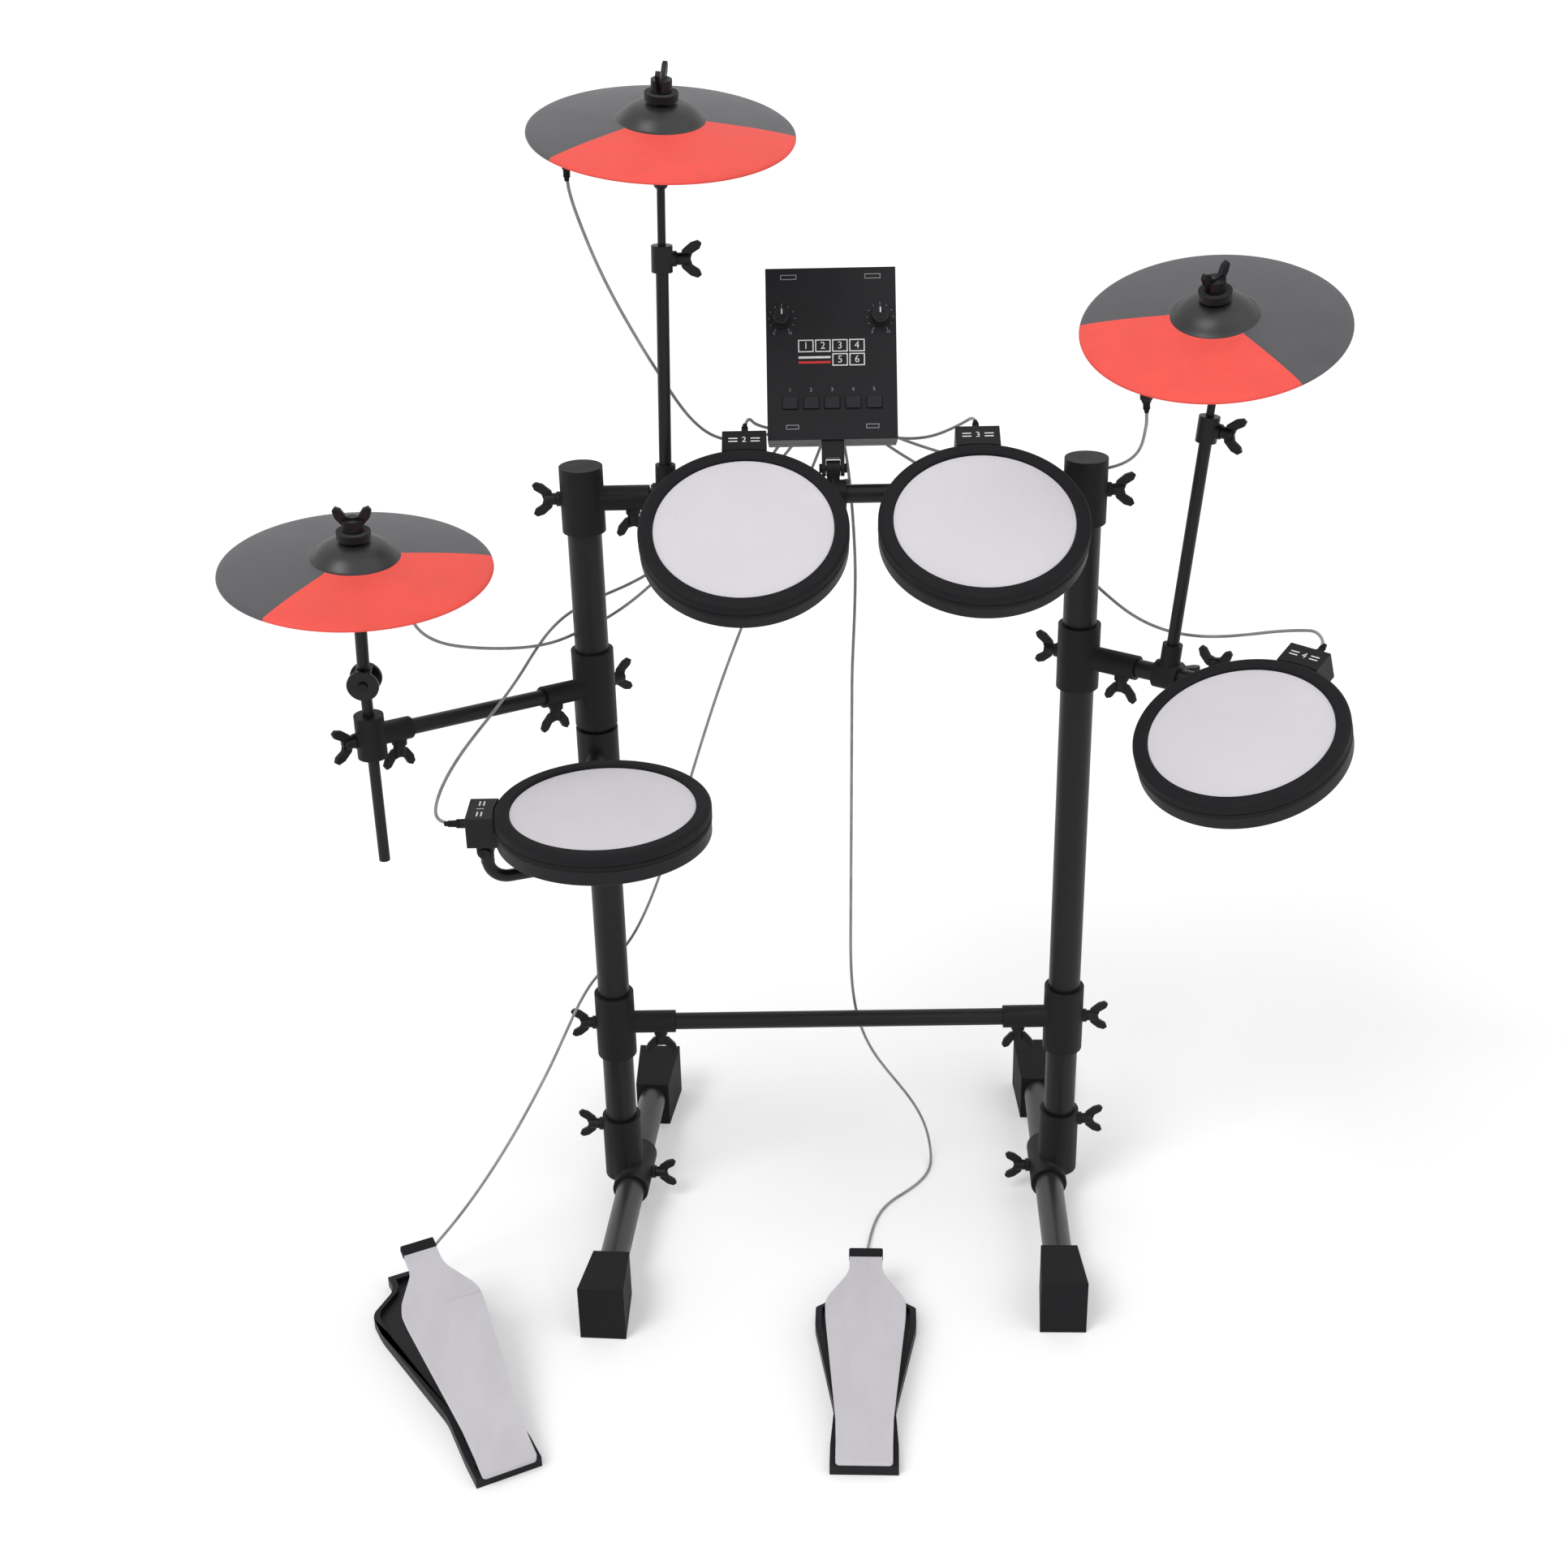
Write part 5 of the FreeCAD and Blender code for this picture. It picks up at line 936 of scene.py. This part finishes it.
# Drum pads

# A rim's section from its foot, over a thin groove in its side, to its top.
RIM_REACH, RIM_HOLE, RIM_FOOT, GROOVE_REACH = 102.0, 87.8, -16.0, 101.2
RIM_OUTLINE = [
    (RIM_HOLE, RIM_FOOT), (RIM_REACH, RIM_FOOT), (RIM_REACH, -12.4), (GROOVE_REACH, -11.9),
    (GROOVE_REACH, -11.1), (RIM_REACH, -10.6), (RIM_REACH, 0.0), (RIM_HOLE, 0.0)]
RIM_STEPS = 144
HEAD_WIDTH, HEAD_THICKNESS, HEAD_TOP, HEAD_EDGE = 175.0, 6.0, -3.0, 1.0
BOX_TOP, BOX_BACK = -1.5, 127.0
LABEL_MIDDLE, LABEL_HEIGHT = 114.5, 10.0
LABEL_BAR, LABEL_BAR_X, LABEL_BAR_ROWS = (9.0, 1.4, PRINT_THICKNESS), 11.0, (-2.0, 2.0)
PAD_SCREWS, PAD_SCREW, PAD_SCREW_REACH, PAD_UNDERSIDE = 6, (8.0, 2.2), 78.0, -37.0
PAD_NUT_WIDTH, PAD_NUT_HEIGHT, PAD_NUT_EDGE = 14.5, 2.6, 0.4


class DRUMKIT_OT_pads(Operator):
    """Makes the four drum pads: shell, rubber rim, playing head and the mark on the rear box"""

    bl_idname = "drumkit.pads"
    bl_label = "Drum pads"

    def execute(self, context):
        sizes = context.scene.drum_kit_sizes
        colours = context.scene.drum_kit_colours
        for number, (name, where) in enumerate(PADS.items(), 1):
            finished(name + "_shell", "abs", sizes.moulded_round)
            self.rim(name, where, sizes)
            # Woven polyester: pale, matt and faintly crossed by its threads.
            cloth = finish("woven_polyester_" + name, colours.head, 0.012, 60, 0.9, 0.03, (0.62, 0.74),
                           {"Specular IOR Level": 0.25})
            woven(cloth, where, sizes.weave_pitch, 0.07)
            self.head(name, where, cloth)
            self.label(name, where, str(number))
            self.fixings(name, where)
        return {"FINISHED"}

    def rim(self, name, where, sizes):
        """The rubber ring round a pad, wide and round at its outer top edge."""
        bm = bmesh.new()
        revolved(bm, RIM_OUTLINE, RIM_STEPS)

        def ring(reach, height):
            return [e for e in bm.edges if all(
                abs(math.hypot(v.co.x, v.co.y) - reach * MM) < MERGE and abs(v.co.z - height * MM) < MERGE
                for v in e.verts)]

        for reach, height, share, segments in (
                (RIM_REACH, 0.0, 1.0, 5), (RIM_HOLE, 0.0, 0.5, 4), (RIM_REACH, RIM_FOOT, 0.2, 3)):
            round_edges(bm, ring(reach, height), sizes.rim_round * share, segments)
        bmesh.ops.transform(bm, matrix=where, verts=bm.verts)
        piece(name + "_rubber_rim", bm, ["rubber"], name, [name + "_rim"])

    def head(self, name, where, cloth):
        """The round playing surface inside the rim."""
        bm = bmesh.new()
        foot = shift(0, 0, HEAD_TOP - HEAD_THICKNESS)
        add_drum(bm, HEAD_WIDTH, HEAD_THICKNESS, foot, RIM_STEPS, None, HEAD_EDGE)
        bmesh.ops.transform(bm, matrix=where, verts=bm.verts)
        piece(name + "_playing_head", bm, [cloth], name, [name + "_head"])

    def label(self, name, where, number):
        """A plain pad number between two bars on the rear box."""
        bm = bmesh.new()
        seat = where @ shift(0, LABEL_MIDDLE, BOX_TOP)
        add_words(bm, number, LABEL_HEIGHT, seat)
        for side in (-1, 1):
            for row in LABEL_BAR_ROWS:
                add_bar(bm, LABEL_BAR, seat @ shift(side * LABEL_BAR_X, row, 0))
        piece(name + "_number", bm, ["ink"], name)

    def fixings(self, name, where):
        """Six screws under the shell, and the nut of the jack on the rear box."""
        bm = bmesh.new()
        for number in range(PAD_SCREWS):
            turn = turned("Z", 360 / PAD_SCREWS * (number + 0.5))
            below = turn @ shift(PAD_SCREW_REACH, 0, PAD_UNDERSIDE) @ turned("X", 180)
            add_screw(bm, *PAD_SCREW, where @ below)
        behind = shift(0, BOX_BACK, PAD_JACK_HEIGHT) @ turned("X", -90)
        add_drum(bm, PAD_NUT_WIDTH, PAD_NUT_HEIGHT, where @ behind, NUT_SIDES, None, PAD_NUT_EDGE)
        piece(name + "_fixings", bm, ["zinc"], name)


# Sound module

KNOB_X, KNOB_ROW = 49.0, 36.0
KNOB_WIDTH, KNOB_HEIGHT, KNOB_FOOT = 20.0, 13.0, 0.5
# A knob's skirt, its fluted body that narrows to the top, the dish in the top, its pointer and its spindle.
SKIRT_HEIGHT, SKIRT_EDGE, SKIRT_SIDES = 2.6, 0.5, 72
BODY_SHARE, BODY_TOP_SHARE, FLUTE_SHARE, SIDES_PER_FLUTE = 0.46, 0.42, 0.94, 4
DISH_WALL, DISH_DEPTH = 1.4, 0.5
POINTER, POINTER_PLACE, POINTER_SINK = (1.3, 6.6, 0.4), 5.0, 0.35
SPINDLE_WIDTH, SPINDLE_LENGTH, SPINDLE_START = 6.0, 6.0, -5.5

# Print on the case: ticks and end numbers round the knobs, button numbers, empty frames near the corners as
# (x, y, width, height), numbered boxes, and two rules.
MARK_THICKNESS, FRAME_LINE = 0.1, 0.8
DIAL_TICKS, DIAL_SWEEP, DIAL_REACH = 11, 300.0, 12.2
TICK_WIDTH, TICK_LENGTH, LONG_TICK_LENGTH, LONG_TICK_EVERY = 0.6, 1.6, 2.6, 5
DIAL_NUMBERS, DIAL_NUMBER_HEIGHT, DIAL_NUMBER_X, DIAL_NUMBER_DROP = ("0", "10"), 4.0, 8.0, 15.0
BUTTONS, BUTTON_PITCH, BUTTON_NUMBER_ROW, BUTTON_NUMBER_HEIGHT = 5, 21.0, -36.0, 5.4
CORNER_FRAMES = ((42.0, 77.0, 16.0, 5.0), (40.0, -73.0, 13.0, 4.6))
NUMBERED_BOXES = [(-25.5, 8.0), (-8.5, 8.0), (8.5, 8.0), (25.5, 8.0), (8.5, -6.0), (25.5, -6.0)]
PRINT_BOX_WIDTH, PRINT_BOX_HEIGHT, PRINT_BOX_LINE, PRINT_BOX_NUMBER_HEIGHT = 15.5, 12.5, 1.1, 10.0
RULE_X, RULE_LENGTH, RULE_WIDTH, RULE_ROWS = -17.0, 32.0, 2.2, (-3.5, -8.5)

COVER_SCREW, COVER_SCREW_X, COVER_SCREW_Y = (7.0, 1.8), 54.0, 75.0
MODULE_NUT_WIDTH, MODULE_NUT_HEIGHT, MODULE_NUT_EDGE = 11.4, 2.2, 0.3


class DRUMKIT_OT_module(Operator):
    """Makes the sound module: case, cover, knobs, buttons and plain printed marks"""

    bl_idname = "drumkit.module"
    bl_label = "Sound module"

    def execute(self, context):
        sizes = context.scene.drum_kit_sizes
        for node in ("module_case", "module_cover"):
            finished(node, "module", sizes.moulded_round * 1.6, 4)
        for number in range(1, BUTTONS + 1):
            finished("module_button_%d" % number, "button", sizes.moulded_round)
        for name, side in (("left_knob", -1), ("right_knob", 1)):
            self.knob(name, MODULE @ shift(side * KNOB_X, KNOB_ROW, 0), sizes)
        self.marks()
        self.fixings()
        return {"FINISHED"}

    def knob(self, name, where, sizes):
        """A fluted knob with a dished top and a pointer line."""
        bm = bmesh.new()
        add_drum(bm, KNOB_WIDTH, SKIRT_HEIGHT, shift(0, 0, KNOB_FOOT), SKIRT_SIDES, None, SKIRT_EDGE)
        sides = sizes.knob_flutes * SIDES_PER_FLUTE
        middle = KNOB_FOOT + SKIRT_HEIGHT + (KNOB_HEIGHT - KNOB_FOOT - SKIRT_HEIGHT) / 2
        body = bmesh.ops.create_cone(
            bm, cap_ends=True, segments=sides, radius1=KNOB_WIDTH * BODY_SHARE * MM,
            radius2=KNOB_WIDTH * BODY_TOP_SHARE * MM, depth=(KNOB_HEIGHT - SKIRT_HEIGHT) * MM,
            matrix=shift(0, 0, middle))
        step = 2 * math.pi / sides
        dips = [v for v in body["verts"]
                if round(math.atan2(v.co.y, v.co.x) / step) % SIDES_PER_FLUTE in (0, 1)]
        bmesh.ops.scale(bm, vec=(FLUTE_SHARE, FLUTE_SHARE, 1.0), verts=dips)
        top = max((f for f in bm.faces if f.normal.z > 0.9), key=lambda f: f.calc_center_median().z)
        bmesh.ops.inset_region(bm, faces=[top], thickness=DISH_WALL * MM, depth=0.0)
        bmesh.ops.translate(bm, vec=(0, 0, -DISH_DEPTH * MM), verts=list(top.verts))
        add_drum(bm, SPINDLE_WIDTH, SPINDLE_LENGTH, shift(0, 0, SPINDLE_START), 24)
        add_bar(bm, POINTER, shift(0, POINTER_PLACE, KNOB_HEIGHT - POINTER_SINK), 0.0, 1)
        bmesh.ops.transform(bm, matrix=where, verts=bm.verts)
        piece(name + "_fluted", bm, ["knob", "ink"], name, [name])

    def marks(self):
        """Dial ticks, plain numbers over the buttons, numbered boxes and two rules, printed on the case."""
        bm = bmesh.new()
        for side in (-1, 1):
            for tick in range(DIAL_TICKS):
                turn = 90 + DIAL_SWEEP / 2 - DIAL_SWEEP * tick / (DIAL_TICKS - 1)
                long = TICK_LENGTH if tick % LONG_TICK_EVERY else LONG_TICK_LENGTH
                dial = MODULE @ shift(side * KNOB_X, KNOB_ROW, 0) @ turned("Z", turn)
                spoke = dial @ shift(DIAL_REACH + long / 2, 0, 0)
                add_bar(bm, (long, TICK_WIDTH, MARK_THICKNESS), spoke, 0.0, 2)
            for words, end in zip(DIAL_NUMBERS, (-1, 1)):
                below = shift(side * KNOB_X + end * DIAL_NUMBER_X, KNOB_ROW - DIAL_NUMBER_DROP, 0)
                add_words(bm, words, DIAL_NUMBER_HEIGHT, MODULE @ below, 2)
            for x, y, wide, high in CORNER_FRAMES:
                self.frame_line(bm, side * x, y, wide, high, 2, FRAME_LINE)
        for number in range(1, BUTTONS + 1):
            above = shift((number - (BUTTONS + 1) / 2) * BUTTON_PITCH, BUTTON_NUMBER_ROW, 0)
            add_words(bm, str(number), BUTTON_NUMBER_HEIGHT, MODULE @ above, 2)
        for number, (x, y) in enumerate(NUMBERED_BOXES, 1):
            self.frame_line(bm, x, y, PRINT_BOX_WIDTH, PRINT_BOX_HEIGHT, 0, PRINT_BOX_LINE)
            add_words(bm, str(number), PRINT_BOX_NUMBER_HEIGHT, MODULE @ shift(x, y, 0))
        for index, row in enumerate(RULE_ROWS):
            add_bar(bm, (RULE_LENGTH, RULE_WIDTH, MARK_THICKNESS), MODULE @ shift(RULE_X, row, 0), 0.0, index)
        piece("module_marks", bm, ["ink", "red_ink", "dim_ink"], "module")

    def frame_line(self, bm, x, y, wide, high, index, line):
        """The printed outline of a box."""
        for side in (-1, 1):
            level = shift(x, y + side * (high - line) / 2, 0)
            add_bar(bm, (wide, line, MARK_THICKNESS), MODULE @ level, 0.0, index)
            upright = shift(x + side * (wide - line) / 2, y, 0)
            add_bar(bm, (line, high - line * 2, MARK_THICKNESS), MODULE @ upright, 0.0, index)

    def fixings(self):
        """Four screws in the cover's back, and a nut round each jack."""
        bm = bmesh.new()
        back = turned("X", 180)
        for x in (-COVER_SCREW_X, COVER_SCREW_X):
            for y in (-COVER_SCREW_Y, COVER_SCREW_Y):
                add_screw(bm, *COVER_SCREW, MODULE @ shift(x, y, MODULE_BACK) @ back)
        for number in range(len(CORDS)):
            spot = MODULE @ shift(jack_x(number), MODULE_JACK_ROW, MODULE_BACK) @ back
            add_drum(bm, MODULE_NUT_WIDTH, MODULE_NUT_HEIGHT, spot, NUT_SIDES, None, MODULE_NUT_EDGE)
        piece("module_fixings", bm, ["zinc"], "module")


# Pedals

BOARD_END, BOARD_RISE, BOARD_THICKNESS, BOARD_NECK = 272.0, 7.0, 7.0, 36.0
LUG_REACH, NECK_START = 25.0, 250.0
# The cap on a footboard's toe wraps round it on all sides.
TOE_LENGTH, TOE_WALL, TOE_EDGE = 14.0, 0.6, 1.6


class DRUMKIT_OT_pedals(Operator):
    """Makes the two pedals: base, footboard with its toe cap, and hinge pin"""

    bl_idname = "drumkit.pedals"
    bl_label = "Pedals"

    def execute(self, context):
        sizes = context.scene.drum_kit_sizes
        for name, (where, rest) in PEDALS.items():
            tray = soft_plan(name + "_base", where,
                             lambda spot: abs(spot.x) > LUG_REACH or spot.y > NECK_START,
                             sizes.plan_round, sizes.end_round)
            finished(name + "_base", "abs", sizes.moulded_round * 1.4, 3, tray)
            on_pin = where @ Matrix.Translation(PEDAL_PIN) @ turned("X", rest)
            plate = soft_plan(name + "_board", on_pin, lambda spot: spot.z > BOARD_RISE,
                              sizes.plan_round, sizes.end_round)
            finished(name + "_board", "board", sizes.board_round, 4, plate)
            self.toe_cap(name, on_pin)
        finished("pedal_pins", "steel", sizes.metal_round, 2)
        return {"FINISHED"}

    def toe_cap(self, name, where):
        """A black cap on the end of the footboard."""
        bm = bmesh.new()
        middle = shift(0, BOARD_END - TOE_LENGTH / 2 + TOE_WALL, BOARD_RISE + BOARD_THICKNESS / 2)
        block = (BOARD_NECK + 2 * TOE_WALL, TOE_LENGTH, BOARD_THICKNESS + 2 * TOE_WALL)
        add_bar(bm, block, where @ middle, TOE_EDGE)
        piece(name + "_toe_cap", bm, ["rubber"], name + "_board")


class DRUMKIT_PT_panel(Panel):
    bl_idname = "DRUMKIT_PT_panel"
    bl_label = "Drum Kit"
    bl_space_type = "VIEW_3D"
    bl_region_type = "UI"
    bl_category = "Drum Kit"

    def draw(self, context):
        for step in STEPS:
            self.layout.operator(step.bl_idname)
        for group in (context.scene.drum_kit_sizes, context.scene.drum_kit_colours):
            for key in group.__annotations__:
                self.layout.prop(group, key)


STEPS = (DRUMKIT_OT_stage, DRUMKIT_OT_cords, DRUMKIT_OT_rack, DRUMKIT_OT_cymbals, DRUMKIT_OT_pads,
         DRUMKIT_OT_module, DRUMKIT_OT_pedals)
CLASSES = (DrumKitSizes, DrumKitColours, *STEPS, DRUMKIT_PT_panel)


def register():
    for kind in CLASSES:
        bpy.utils.register_class(kind)
    bpy.types.Scene.drum_kit_sizes = PointerProperty(type=DrumKitSizes)
    bpy.types.Scene.drum_kit_colours = PointerProperty(type=DrumKitColours)


def unregister():
    del bpy.types.Scene.drum_kit_colours
    del bpy.types.Scene.drum_kit_sizes
    for kind in reversed(CLASSES):
        bpy.utils.unregister_class(kind)


def main():
    register()
    make_finishes()
    bpy.ops.drumkit.stage()
    bpy.ops.drumkit.cords()
    bpy.ops.drumkit.rack()
    bpy.ops.drumkit.cymbals()
    bpy.ops.drumkit.pads()
    bpy.ops.drumkit.module()
    bpy.ops.drumkit.pedals()


if __name__ == "__main__":
    main()
